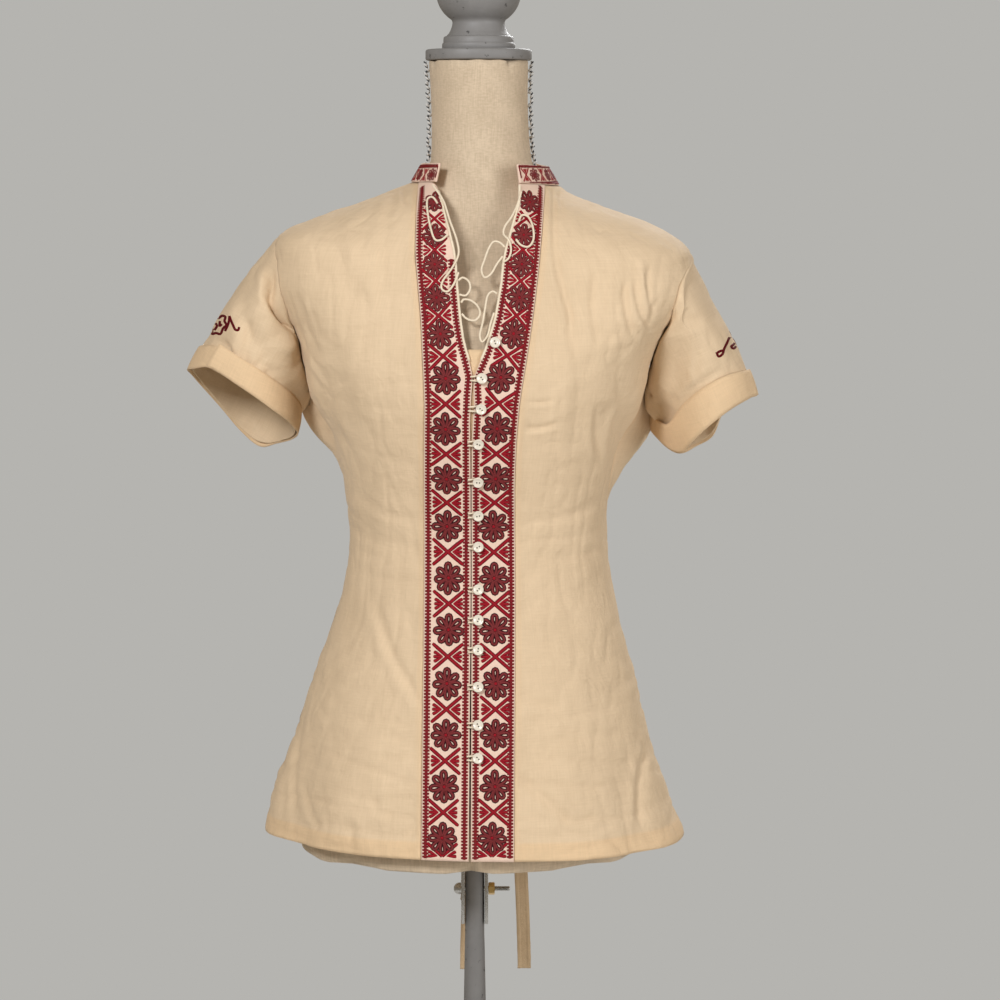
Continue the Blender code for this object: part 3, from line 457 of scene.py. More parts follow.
form = cloth_surface("torso_form", "linen_form", 2, rim=0.0, sharp=math.radians(50))
relax(form, 1)
places = vertex_places(form)
cloth_map(form, np.arctan2(places[:, 1], places[:, 0]) * 0.12, places[:, 2])
paint_layers(form, np.zeros(len(places)))
finish_piece(form, linen, "linen", "torso_form")


# The body of the top: light cream cotton, cut as two fronts and a back, sewn at the
# shoulders and sides, with a deep hem turned up inside. Its creases are pressed in here.
cotton = dress_cloth("cream_cotton", (0.750, 0.570, 0.375), (0.775, 0.555, 0.335), 0.10,
                     2100, 0.022, 0.00014, 1.5, 0.05, 1.0, crumple=0.38)
HEM = 0.708
HEM_DEPTH = 0.0165
CREASE_COLUMNS = ("name", "x_from", "z_from", "x_to", "z_to", "width", "depth")
FRONT_CREASES = (
    ("right_armhole_pull_1", -0.1726, 1.2301, -0.1435, 1.1635, 0.0020, -0.0007),
    ("right_armhole_pull_2", -0.1661, 1.2301, -0.1480, 1.1885, 0.0019, -0.0006),
    ("right_armhole_pull_3", -0.1598, 1.2098, -0.1363, 1.1431, 0.0019, 0.0007),
    ("right_armhole_pull_4", -0.1569, 1.2301, -0.1397, 1.1839, 0.0028, 0.0006),
    ("right_bust_hollow", -0.1249, 1.1821, -0.1124, 1.1097, 0.0112, -0.0014),
    ("right_bust_side", -0.1399, 1.1561, -0.1199, 1.0892, 0.0047, -0.0009),
    ("right_neck_tuck", -0.0680, 1.3346, -0.0625, 1.3182, 0.0019, -0.0010),
    ("right_neck_fold", -0.0744, 1.3255, -0.0822, 1.2301, 0.0047, -0.0007),
    ("right_shoulder_fold", -0.1177, 1.3081, -0.0933, 1.2301, 0.0074, 0.0008),
    ("right_waist_1", -0.1129, 1.0069, -0.0516, 0.9957, 0.0047, -0.0006),
    ("right_waist_2", -0.1131, 0.9788, -0.0498, 0.9750, 0.0047, 0.0006),
    ("right_waist_3", -0.1127, 1.0463, -0.0663, 1.0257, 0.0047, -0.0006),
    ("right_belly_fold", -0.0928, 0.9411, -0.0445, 0.8502, 0.0047, -0.0014),
    ("right_belly_line_1", -0.0704, 0.9298, -0.0462, 0.9288, 0.0020, -0.0005),
    ("right_belly_line_2", -0.0745, 0.8340, -0.0464, 0.8293, 0.0022, -0.0007),
    ("right_low_1", -0.1630, 0.7883, -0.1142, 0.7845, 0.0020, -0.0006),
    ("right_low_2", -0.0842, 0.7768, -0.0560, 0.7768, 0.0020, -0.0006),
    ("right_low_3", -0.1538, 0.7548, -0.1350, 0.7577, 0.0028, -0.0009),
    ("right_low_4", -0.0974, 0.7606, -0.0768, 0.7491, 0.0037, -0.0007),
    ("right_hem_fold_1", -0.1622, 0.7625, -0.1484, 0.7299, 0.0028, -0.0013),
    ("right_hem_fold_2", -0.0731, 0.7203, -0.0505, 0.7433, 0.0028, -0.0010),
    ("right_hem_fold_3", -0.1146, 0.7165, -0.1163, 0.7414, 0.0028, -0.0006),
    ("right_side_fold", -0.1665, 0.8226, -0.1709, 0.7318, 0.0028, -0.0010),
    ("left_neck_fold", 0.0762, 1.3310, 0.0903, 1.2135, 0.0032, -0.0015),
    ("left_neck_fold_low", 0.0894, 1.2208, 0.0969, 1.1747, 0.0047, -0.0008),
    ("left_neck_tuck", 0.0827, 1.3310, 0.0818, 1.3163, 0.0017, -0.0008),
    ("left_drape_1", 0.1132, 1.2558, 0.1153, 1.1913, 0.0037, -0.0011),
    ("left_drape_2", 0.1409, 1.2448, 0.1486, 1.1968, 0.0032, -0.0014),
    ("left_drape_3", 0.1502, 1.2429, 0.1633, 1.2024, 0.0028, -0.0012),
    ("left_drape_4", 0.1630, 1.2595, 0.1669, 1.2190, 0.0028, -0.0012),
    ("left_drape_5", 0.1556, 1.2650, 0.1613, 1.2301, 0.0028, 0.0009),
    ("left_drape_6", 0.1280, 1.2485, 0.1338, 1.1885, 0.0037, 0.0009),
    ("left_drape_7", 0.1724, 1.2301, 0.1616, 1.1821, 0.0028, -0.0008),
    ("left_bust_line_1", 0.0489, 1.1376, 0.0729, 1.1366, 0.0020, -0.0008),
    ("left_bust_line_2", 0.0507, 1.1116, 0.0767, 1.1153, 0.0024, -0.0010),
    ("left_bust_hollow", 0.1135, 1.1821, 0.0990, 1.1004, 0.0112, -0.0012),
    ("left_side_line", 0.1156, 1.1283, 0.1195, 1.0743, 0.0028, -0.0010),
    ("left_side_line_2", 0.1341, 1.1283, 0.1232, 1.0724, 0.0037, 0.0008),
    ("left_waist_1", 0.0508, 1.0257, 0.1178, 1.0332, 0.0047, -0.0006),
    ("left_waist_2", 0.0509, 0.9919, 0.1179, 0.9882, 0.0047, -0.0006),
    ("left_waist_3", 0.0528, 0.9637, 0.1143, 0.9693, 0.0047, 0.0005),
    ("left_belly_fold_1", 0.0426, 0.8986, 0.0669, 0.8919, 0.0028, -0.0007),
    ("left_belly_fold_2", 0.0426, 0.8635, 0.0773, 0.8483, 0.0037, -0.0011),
    ("left_belly_line", 0.0773, 0.8198, 0.1036, 0.8150, 0.0020, -0.0006),
    ("left_swag_1", 0.0436, 0.7873, 0.0680, 0.7644, 0.0047, -0.0016),
    ("left_swag_2", 0.0680, 0.7644, 0.0888, 0.7443, 0.0047, -0.0016),
    ("left_swag_3", 0.0850, 0.7443, 0.1151, 0.7443, 0.0032, -0.0013),
    ("left_swag_4", 0.1113, 0.7443, 0.1565, 0.7395, 0.0030, -0.0010),
    ("left_swag_5", 0.0869, 0.7357, 0.1152, 0.7261, 0.0028, -0.0008),
    ("left_low_1", 0.1188, 0.7606, 0.1527, 0.7567, 0.0022, -0.0006),
    ("left_low_2", 0.0962, 0.7701, 0.1300, 0.7740, 0.0022, -0.0006),
    ("left_hem_fold_1", 0.0455, 0.7241, 0.0578, 0.7126, 0.0037, -0.0009),
    ("left_hem_fold_2", 0.1416, 0.7107, 0.1246, 0.7241, 0.0028, -0.0007),
    ("left_side_fold", 0.1665, 0.7988, 0.1594, 0.7299, 0.0037, -0.0014),
)
BACK_CREASES = (
    ("yoke_pull_left", 0.1500, 1.2500, 0.0700, 1.1900, 0.0050, -0.0012),
    ("yoke_pull_right", -0.1450, 1.2550, -0.0650, 1.1900, 0.0050, -0.0012),
    ("blade_left", 0.0900, 1.2300, 0.0800, 1.1000, 0.0090, 0.0012),
    ("blade_right", -0.0850, 1.2300, -0.0750, 1.1000, 0.0090, 0.0012),
    ("neck_left", 0.0550, 1.3250, 0.0500, 1.2500, 0.0040, -0.0009),
    ("neck_right", -0.0380, 1.3250, -0.0450, 1.2450, 0.0040, -0.0009),
    ("spine", 0.0100, 1.2200, 0.0080, 1.0400, 0.0080, -0.0010),
    ("side_pull_left", 0.1300, 1.1300, 0.0500, 1.0250, 0.0040, -0.0013),
    ("side_pull_right", -0.1250, 1.1250, -0.0400, 1.0200, 0.0040, -0.0013),
    ("seat_left", 0.1300, 0.8400, 0.0500, 0.8100, 0.0050, -0.0010),
    ("seat_right", -0.1200, 0.8300, -0.0500, 0.8050, 0.0050, -0.0010),
    ("seat_low", -0.0900, 0.7600, 0.0700, 0.7650, 0.0040, -0.0008),
)


def crease_sum(x, z, creases):
    """How far a set of creases moves the cloth out, at each place."""
    total = np.zeros(len(x))
    for row in creases:
        crease = dict(zip(CREASE_COLUMNS, row))
        dx, dz = crease["x_to"] - crease["x_from"], crease["z_to"] - crease["z_from"]
        length = math.hypot(dx, dz)
        t = ((x - crease["x_from"]) * dx + (z - crease["z_from"]) * dz) / length ** 2
        bow = 0.06 * length * np.sin(np.clip(t, 0, 1) * math.pi)
        off = ((x - crease["x_from"]) * dz - (z - crease["z_from"]) * dx) / length - bow
        ends = np.clip(t / 0.3 + 0.5, 0, 1) * np.clip((1 - t) / 0.3 + 0.5, 0, 1)
        ends = ends * ends * (3 - 2 * ends)
        d = off / crease["width"]
        total += crease["depth"] * ends * (np.exp(-d * d) - 0.45 * np.exp(-((d - 1.9) / 1.3) ** 2))
    return total


def rumple(places, size, seed):
    """Slow, uneven noise between -1 and 1 at each place."""
    return np.array([noise.noise(Vector((p[0] / size + seed, p[1] / size, p[2] / size))) for p in places])


def crinkle(places, size, seed, stretch=(1, 1, 1)):
    """Sharp little crinkles between 0 and 1, as in washed cotton."""
    values = []
    for p in places:
        q = Vector((p[0] * stretch[0] / size + seed, p[1] * stretch[1] / size, p[2] * stretch[2] / size))
        q += noise.noise_vector(q * 0.5) * 0.9
        values.append((1 - abs(noise.noise(q))) ** 5)
    return np.array(values)


def soft_step(values, start, end):
    """0 at start, 1 at end, smooth between."""
    t = np.clip((values - start) / (end - start), 0, 1)
    return t * t * (3 - 2 * t)


band_trees = [BVHTree.FromPolygons([v.co.copy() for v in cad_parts[n].data.vertices],
                                   [tuple(f.vertices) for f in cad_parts[n].data.polygons])
              for n in ("band_left", "band_right", "collar")]


def beside_bands(places):
    """How far each place lies from the bands and the collar."""
    return np.array([min(tree.find_nearest(Vector(p))[3] for tree in band_trees) for p in places])


def press_creases(made, amount=1.0):
    """The folds, creases and crinkles of worn cotton."""
    places, normals = vertex_places(made), vertex_normals(made)
    x, y, z = places.T
    near = beside_bands(places)
    free = soft_step(near, 0.0005, 0.012) * amount
    front = soft_step(-y, 0.0, 0.03)
    back = soft_step(y, 0.0, 0.03)
    move = (crease_sum(x, z, FRONT_CREASES) * front + crease_sum(x, z, BACK_CREASES) * back) * 1.7
    move += rumple(places, 0.060, 3.0) * 0.0014
    move += rumple(places * np.array([1, 1, 2.2]), 0.030, 9.0) * 0.0007
    low = soft_step(-z, -0.98, -0.80)
    waist = np.exp(-((z - 1.0) / 0.05) ** 2)
    move -= crinkle(places, 0.045, 1.3, (0.6, 0.6, 2.4)) * 0.0015 * (0.25 + low * 0.9 + waist * 0.4)
    move -= crinkle(places, 0.040, 5.1, (2.0, 2.0, 0.7)) * 0.0010
    hem = HEM - 0.0195 * x
    move += 0.0005 * (1 - soft_step(z - hem, HEM_DEPTH - 0.0012, HEM_DEPTH + 0.0012))
    move = places + normals * (move * free)[:, None]
    side = soft_step(np.abs(x), 0.135, 0.150) * np.exp(-((z - 1.118) / 0.042) ** 2)
    move[:, 0] += np.sign(x) * side * np.where(x > 0, 0.0080, 0.0065) * amount
    set_places(made, move)


def body_layers(places):
    """Where the body's cloth is double: the hem, and the turnings beside bands and seams."""
    x, y, z = places.T
    hem = 1 - soft_step(z - (HEM - 0.0195 * x), HEM_DEPTH - 0.0008, HEM_DEPTH + 0.0008)
    beside = (1 - soft_step(beside_bands(places), 0.0045, 0.0065)) * 0.55
    side = (1 - soft_step(np.abs(y), 0.0075, 0.0095)) * 0.55
    return np.maximum(np.maximum(hem, beside), side)


def body_map(made):
    """The body's cloth in metres: round the body, and up from the hem."""
    places = vertex_places(made)
    angle = np.arctan2(places[:, 1], places[:, 0])
    cloth_map(made, np.where(angle < -math.pi * 0.99, angle + 2 * math.pi, angle) * 0.145,
              places[:, 2] - HEM)


def edge_rings(made):
    """The open edges of a surface, each as the numbers of its vertices."""
    shape = bmesh.new()
    shape.from_mesh(made.data)
    left = {v for v in shape.verts if v.is_boundary}
    rings = []
    while left:
        ring, waiting = [], [left.pop()]
        while waiting:
            one = waiting.pop()
            ring.append(one.index)
            for edge in one.link_edges:
                other = edge.other_vert(one)
                if edge.is_boundary and other in left:
                    left.discard(other)
                    waiting.append(other)
        rings.append(ring)
    shape.free()
    return rings


CLOTH = 0.0012
body_trees, armhole_edges = [], []
for node, label, levels in (("front_left", "left_front", 3), ("front_right", "right_front", 3),
                            ("back", "back_panel", 3)):
    panel = cloth_surface(node, label, levels)
    relax(panel, 6)
    press_creases(panel)
    paint_layers(panel, body_layers(vertex_places(panel)))
    body_map(panel)
    body_trees.append(tree_of(panel))
    places = vertex_places(panel)
    for ring in edge_rings(panel):
        armhole_edges += [p for p in places[ring] if abs(p[0]) > 0.11 and p[2] > 1.10]
    thicken(panel, CLOTH, rim_only=label == "back_panel")
    finish_piece(panel, cotton, "cotton", node)

# The placket strip behind the foot of the V, of single cotton.
guard = cloth_surface("guard", "placket_strip", 2, facing=(0, -1, 0))
body_map(guard)
paint_layers(guard, np.zeros(len(guard.data.vertices)) + 0.5)
thicken(guard, 0.0008)
finish_piece(guard, cotton, "cotton", "guard")


# The front bands and the stand collar: cotton sewn double, covered with embroidery.
band_cotton = dress_cloth("band_cotton", (0.840, 0.620, 0.490), (0.84, 0.62, 0.49), 0.08,
                          1900, 0.01, 0.00016, 1.2, 0.02, 0.7)
BAND = 0.0020
# How far the inner edges lean over towards each other at the foot of the V, by height.
LEAN = {"left_band": ((1.095, 0.0), (1.120, -0.0012), (1.135, -0.0018), (1.150, -0.0044), (1.160, -0.0058),
                      (1.170, -0.0045), (1.185, -0.0033), (1.215, 0.0)),
        "right_band": ((0.700, 0.0007), (1.120, 0.0010), (1.143, 0.0028), (1.160, 0.0055), (1.178, 0.0040),
                       (1.195, 0.0012), (1.215, 0.0)),
        "stand_collar": ((0.0, 0.0),)}


def lean(label, x, z):
    """How far a band's cloth is pulled across at a place: all of it at the inner edge."""
    pull = np.interp(z, [r[0] for r in LEAN[label]], [r[1] for r in LEAN[label]])
    if label == "left_band":
        return pull * soft_step(-x, -0.030, -0.006)
    return pull * soft_step(x, -0.036, -0.008)


bands = {}
for node, label in (("band_left", "left_band"), ("band_right", "right_band"), ("collar", "stand_collar")):
    band = cloth_surface(node, label, 3)
    relax(band, 2)
    places, normals = vertex_places(band), vertex_normals(band)
    move = rumple(places, 0.025, 4.0) * 0.0004
    places = places + normals * move[:, None]
    places[:, 0] += lean(label, places[:, 0], places[:, 2])
    set_places(band, places)
    cloth_map(band, np.arctan2(places[:, 1], places[:, 0]) * 0.12, places[:, 2])
    paint_layers(band, np.ones(len(places)))
    bands[label] = tree_of(band)
    thicken(band, BAND)
    finish_piece(band, band_cotton, "embroidered_band", node)


# Embroidery thread: six-strand cotton in satin stitches, whose strands lie across the line that they cover. UV runs
# along the line, in metres. The colour is painted lighter along a strip's middle and darker at its edges: painted
# highlight and painted shade.
def stitch_thread(name, dark_strand_and_shade, light_strand_and_highlight):
    """A satin-stitch material in one colour, with its strands, painted lighter along the middle and darker at the
    edges: painted highlight and painted shade.
    """
    made, tree, shader = new_material(name, 0.6, shine=0.12)
    place = add_node(tree, "ShaderNodeUVMap", uv_map="cloth").outputs[0]
    parts = add_node(tree, "ShaderNodeSeparateXYZ", {0: place})
    # The stitches' stripes: strand texture, and painted sheen in the colour.
    wave = arithmetic(tree, "SINE", arithmetic(tree, "MULTIPLY", parts.outputs[0], 2 * math.pi * 1500))
    strand = add_node(tree, "ShaderNodeTexNoise", {"Vector": place, "Scale": 900.0, "Detail": 2.0}).outputs["Fac"]
    mixed = arithmetic(tree, "MULTIPLY_ADD", wave, 0.22, strand)
    # Painted shade and highlight: darker towards a strip's two edges and lighter along its middle, as light falls on a
    # rounded strip.
    rounded = add_node(tree, "ShaderNodeMapRange", {
        "Value": arithmetic(tree, "ABSOLUTE", parts.outputs[1]), "From Min": 0.0004, "From Max": 0.0016,
        "To Min": 0.34, "To Max": -0.36}).outputs[0]
    light = add_node(tree, "ShaderNodeMapRange", {"Value": arithmetic(tree, "ADD", mixed, rounded),
                                                  "From Min": 0.25, "From Max": 0.95}).outputs[0]
    tree.links.new(blended(tree, light, (*dark_strand_and_shade, 1), (*light_strand_and_highlight, 1)), shader.inputs["Base Color"])
    bump = add_node(tree, "ShaderNodeBump", {"Height": mixed, "Strength": 0.6, "Distance": 0.0003})
    tree.links.new(bump.outputs[0], shader.inputs["Normal"])
    return made


# Each thread's first colour is its painted shade and its second its painted highlight, with the strands' own tone
# between them.
border_thread = stitch_thread("border_thread", (0.055, 0.003, 0.004), (0.232, 0.013, 0.017))
petal_thread = stitch_thread("petal_thread", (0.018, 0.002, 0.003), (0.222, 0.030, 0.031))
cross_thread = stitch_thread("cross_thread", (0.090, 0.002, 0.005), (0.350, 0.008, 0.018))


class Stitching:
    """Raised stitching drawn flat, x across the band and y along it, before it is laid on."""

    def __init__(self):
        self.points, self.uvs, self.faces, self.colors = [], [], [], []

    def strip(self, line, widths, height, color, closed=False):
        """A satin strip along a line: low at its two edges and rounded between them."""
        count, first, run = len(line), len(self.points), 0.0
        for i, (x, y) in enumerate(line):
            before = line[i - 1] if i or closed else line[0]
            after = line[(i + 1) % count] if i < count - 1 or closed else line[-1]
            dx, dy = after[0] - before[0], after[1] - before[1]
            size = math.hypot(dx, dy) or 1.0
            nx, ny = -dy / size, dx / size
            half = widths[i] / 2 if hasattr(widths, "__len__") else widths / 2
            for share, rise in ((-1, 0.0), (-0.45, 0.9), (0.45, 0.9), (1, 0.0)):
                self.points.append((x + nx * half * share, y + ny * half * share, height * rise))
                self.uvs.append((run, half * share))
            following = line[(i + 1) % count]
            run += math.hypot(following[0] - x, following[1] - y)
        for i in range(count if closed else count - 1):
            a, b = first + 4 * i, first + 4 * ((i + 1) % count)
            for k in range(3):
                self.faces.append((a + k, b + k, b + k + 1, a + k + 1))
                self.colors.append(color)

    def patch(self, outline, centre, height, color):
        """A filled satin patch: its outline low and its middle raised."""
        first = len(self.points)
        self.points.append((*centre, height))
        self.uvs.append((centre[1], 0.0))
        for share, rise in ((0.6, 0.9), (1.0, 0.0)):
            for x, y in outline:
                self.points.append((centre[0] + (x - centre[0]) * share,
                                    centre[1] + (y - centre[1]) * share, height * rise))
                self.uvs.append((y, 0.0008 * share))
        count = len(outline)
        for i in range(count):
            j = (i + 1) % count
            self.faces.append((first, first + 1 + i, first + 1 + j))
            self.faces.append((first + 1 + i, first + 1 + count + i, first + 1 + count + j, first + 1 + j))
            self.colors += [color, color]


def tube(name, route, radius, sides=8, closed_ends=True):
    """A round tube of mesh along a route."""
    shape = bmesh.new()
    rings = []
    side = Vector((0.3, 0.9, 0.2))
    for i, point in enumerate(route):
        along = (route[min(i + 1, len(route) - 1)] - route[max(i - 1, 0)]).normalized()
        side = (side - along * side.dot(along)).normalized()
        up = along.cross(side)
        size = radius[i] if hasattr(radius, "__len__") else radius
        rings.append([shape.verts.new(point + (side * math.cos(2 * math.pi * k / sides)
                                               + up * math.sin(2 * math.pi * k / sides)) * size)
                      for k in range(sides)])
    for a, b in zip(rings, rings[1:]):
        for k in range(sides):
            shape.faces.new((a[k], a[(k + 1) % sides], b[(k + 1) % sides], b[k]))
    if closed_ends:
        shape.faces.new(rings[0])
        shape.faces.new(rings[-1])
    bmesh.ops.recalc_face_normals(shape, faces=shape.faces)
    mesh = bpy.data.meshes.new(name)
    layer = shape.loops.layers.uv.new("cloth")
    runs = [0.0]
    for a, b in zip(route, route[1:]):
        runs.append(runs[-1] + (b - a).length)
    place = {v: (runs[i], k / sides * 0.006) for i, ring in enumerate(rings) for k, v in enumerate(ring)}
    for face in shape.faces:
        for corner in face.loops:
            corner[layer].uv = place[corner.vert]
    shape.to_mesh(mesh)
    shape.free()
    mesh.shade_smooth()
    made = bpy.data.objects.new(name, mesh)
    home.objects.link(made)
    return made


BORDER, PETAL, CROSS = 0, 1, 2


def flower(cloth, x, y, width, height, small=False):
    """Eight petals, each an outline with an open eye, round a red centre."""
    petals = 8
    for k in range(petals):
        uneven = math.sin(7.3 * k + 910 * x + 1370 * y)
        turn = math.radians((90, 40, -4, -48, -90, -132, -176, 140)[k] + 4 * uneven)
        ax, ay = math.cos(turn), math.sin(turn)
        near, far, half = 0.080, 0.445 + 0.018 * math.sin(5.1 * k + 700 * y), 0.086
        mid, reach = (near + far) / 2, (far - near) / 2
        steps = 14 if not small else 8
        line = []
        for i in range(steps):
            t = 2 * math.pi * i / steps
            along = mid + reach * math.cos(t)
            across = half * math.sin(t) * (0.84 + 0.42 * math.cos(t))
            px = (along * ax - across * ay) * width
            py = (along * ay + across * ax) * height
            line.append((x + px, y + py))
        cloth.strip(line, (0.134 if not small else 0.115) * width, 0.036 * width, PETAL, closed=True)
    ring = [(x + 0.080 * width * math.cos(2 * math.pi * i / 8), y + 0.080 * width * math.sin(2 * math.pi * i / 8))
            for i in range(8)]
    cloth.patch(ring, (x, y), 0.0008 if not small else 0.0004, CROSS)


def cross(cloth, x, y, width, height, low=-1, high=1):
    """Two crossing satin bars, with a toothed arrow in the gap on both sides."""
    fine = min(width / 0.029, 1.0)
    for sign in (1, -1):
        line = [(x + width * (t - 0.5), y + sign * height * (t - 0.5))
                for t in (0, 0.04, 0.2, 0.35, 0.5, 0.65, 0.8, 0.96, 1)]
        widths = [v * fine for v in (0.0024, 0.0034, 0.0037, 0.0036, 0.0034, 0.0036, 0.0037, 0.0034, 0.0024)]
        kept = [(p, w) for p, w in zip(line, widths)
                if y + low * height / 2 - 0.0001 <= p[1] <= y + high * height / 2 + 0.0001]
        if len(kept) > 1:
            cloth.strip([p for p, _ in kept], [w for _, w in kept],
                        (0.00050 if sign > 0 else 0.00068) * fine, CROSS)
    for side in (-1, 1):
        for turn in (1, 0, -1):
            if (turn > 0 and high <= 0) or (turn < 0 and low >= 0):
                continue
            a = (x + side * width * 0.155, y + turn * height * 0.01)
            b = (x + side * width * (0.470 if turn == 0 else 0.455), y + turn * height * 0.190)
            line = [(a[0] + (b[0] - a[0]) * t, a[1] + (b[1] - a[1]) * t) for t in (0, 0.3, 0.7, 0.92, 1)]
            cloth.strip(line, [v * fine for v in (0.0006, 0.0019, 0.0033, 0.0033, 0.0019)],
                        0.00045 * fine, CROSS)


def border(cloth, x, start, end, width, teeth, color=BORDER, step=0.0031):
    """A solid line with a row of small teeth along one or both of its sides."""
    count = int((end - start) / step)
    line = [(x, start + step * i) for i in range(count + 1)]
    cloth.strip(line, width, 0.0005, color)
    for side in teeth:
        for i in range(count):
            y = start + step * (i + 0.5)
            edge = x + side * (width / 2 - width * 0.18)
            tip = x + side * (width / 2 + step * 0.54)
            first = len(cloth.points)
            for px, py, rise in ((edge, y - step * 0.40, 0.0003), (tip, y - step * 0.26, 0.00015),
                                 (tip, y + step * 0.26, 0.00015), (edge, y + step * 0.40, 0.0003),
                                 (edge + (tip - edge) * 0.5, y, 0.0007)):
                cloth.points.append((px, py, rise))
                cloth.uvs.append((py, 0.0006))
            for face in ((0, 1, 4), (1, 2, 4), (2, 3, 4), (3, 0, 4)):
                cloth.faces.append(tuple(first + k for k in face))
                cloth.colors.append(color)


class Ribbon:
    """The middle line of a band on the top, which flat stitching is laid along."""

    def __init__(self, tree, middles, outs, ups=None):
        self.tree, self.line, self.outs = tree, middles, outs
        self.runs = [0.0]
        for a, b in zip(middles, middles[1:]):
            self.runs.append(self.runs[-1] + (b - a).length)

    def at(self, run):
        """The point, the direction along and the direction out, at a length along the line."""
        i = min(max(int(np.searchsorted(self.runs, run)) - 1, 0), len(self.line) - 2)
        t = (run - self.runs[i]) / (self.runs[i + 1] - self.runs[i])
        point = self.line[i].lerp(self.line[i + 1], t)
        low, high = max(i - 1, 0), min(i + 2, len(self.line) - 1)
        along = (self.line[high] - self.line[low]).normalized()
        out = self.outs[i].lerp(self.outs[i + 1], min(max(t, 0), 1)).normalized()
        return point, along, out

    def lay(self, x, run, lift):
        """The place of a flat point on the cloth, or None off its edge."""
        point, along, out = self.at(run)
        across = along.cross(out).normalized()
        start = point + across * x + out * 0.02
        hit, normal, _, _ = self.tree.ray_cast(start, -out, 0.05)
        if hit is None:
            return None
        return hit + normal * lift

    def run_at(self, z):
        """The length along the line where it has a height."""
        heights = [p.z for p in self.line]
        return float(np.interp(z, heights, self.runs))


def lay_stitching(name, cloth, ribbon, mapper=None):
    """The drawn stitching as one mesh on its band, without what falls off the edge."""
    put = [ribbon.lay(x, y, z + 0.00005) for x, y, z in cloth.points]
    index, places = {}, []
    for i, p in enumerate(put):
        if p is not None:
            index[i] = len(places)
            places.append(p)
    faces, colors, uvs = [], [], []
    for face, color in zip(cloth.faces, cloth.colors):
        if all(i in index for i in face):
            faces.append([index[i] for i in face])
            colors.append(color)
            uvs += [cloth.uvs[i] for i in face]
    mesh = bpy.data.meshes.new(name)
    mesh.from_pydata(places, [], faces)
    layer = mesh.uv_layers.new(name="cloth")
    for loop, uv in zip(layer.data, uvs):
        loop.uv = uv
    for material in (border_thread, petal_thread, cross_thread):
        mesh.materials.append(material)
    mesh.polygons.foreach_set("material_index", colors)
    shape = bmesh.new()
    shape.from_mesh(mesh)
    bmesh.ops.delete(shape, geom=[v for v in shape.verts if not v.link_faces], context="VERTS")
    shape.to_mesh(mesh)
    shape.free()
    nearest = [ribbon.tree.find_nearest(f.center)[1].dot(f.normal) for f in mesh.polygons]
    wrong = [f for f, turn in zip(mesh.polygons, nearest) if turn < 0]
    for face in wrong:
        face.flip()
    mesh.shade_smooth()
    made = bpy.data.objects.new(name, mesh)
    home.objects.link(made)
    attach(made, "root")
    return made


# The flowers' heights and middles on both bands, and the width that shows of each.
BAND_EDGES = (
    (1.345, -0.0515, -0.0372, 0.0425, 0.0672), (1.320, -0.0526, -0.0290, 0.0425, 0.0660),
    (1.295, -0.0536, -0.0222, 0.0352, 0.0640), (1.270, -0.0536, -0.0160, 0.0280, 0.0620),
    (1.245, -0.0512, -0.0145, 0.0256, 0.0592), (1.215, -0.0484, -0.0116, 0.0204, 0.0555),
    (1.185, -0.0470, -0.0090, 0.0135, 0.0510), (1.160, -0.0458, -0.0052, 0.0058, 0.0468),
    (1.135, -0.0449, -0.0038, 0.0025, 0.0428), (1.100, -0.0455, -0.0035, -0.0014, 0.0400),
    (1.060, -0.0460, -0.0033, -0.0019, 0.0384), (0.950, -0.0464, -0.0033, -0.0019, 0.0393),
    (0.700, -0.0490, -0.0050, -0.0026, 0.0380))
FLOWERS = (
    (1.3192, -0.0362, 0.0523, 0.0225), (1.2890, -0.0358, 0.0468, 0.0225),
    (1.2624, -0.0354, 0.0450, 0.0228), (1.2321, -0.0337, 0.0428, 0.0245),
    (1.1990, -0.0300, 0.0372, 0.0260), (1.1583, -0.0251, 0.0254, 0.0280),
    (1.1120, -0.0252, 0.0220, 0.0290), (1.0646, -0.0248, 0.0207, 0.0290),
    (1.0188, -0.0244, 0.0188, 0.0290), (0.9700, -0.0231, 0.0192, 0.0290),
    (0.9221, -0.0232, 0.0201, 0.0290), (0.8729, -0.0247, 0.0208, 0.0285),
    (0.8255, -0.0257, 0.0201, 0.0285), (0.7779, -0.0272, 0.0201, 0.0285),
    (0.7301, -0.0292, 0.0173, 0.0285))


def band_value(z, column):
    """An edge of the bands at a height."""
    rows = sorted(BAND_EDGES)
    return float(np.interp(z, [r[0] for r in rows], [r[column] for r in rows]))


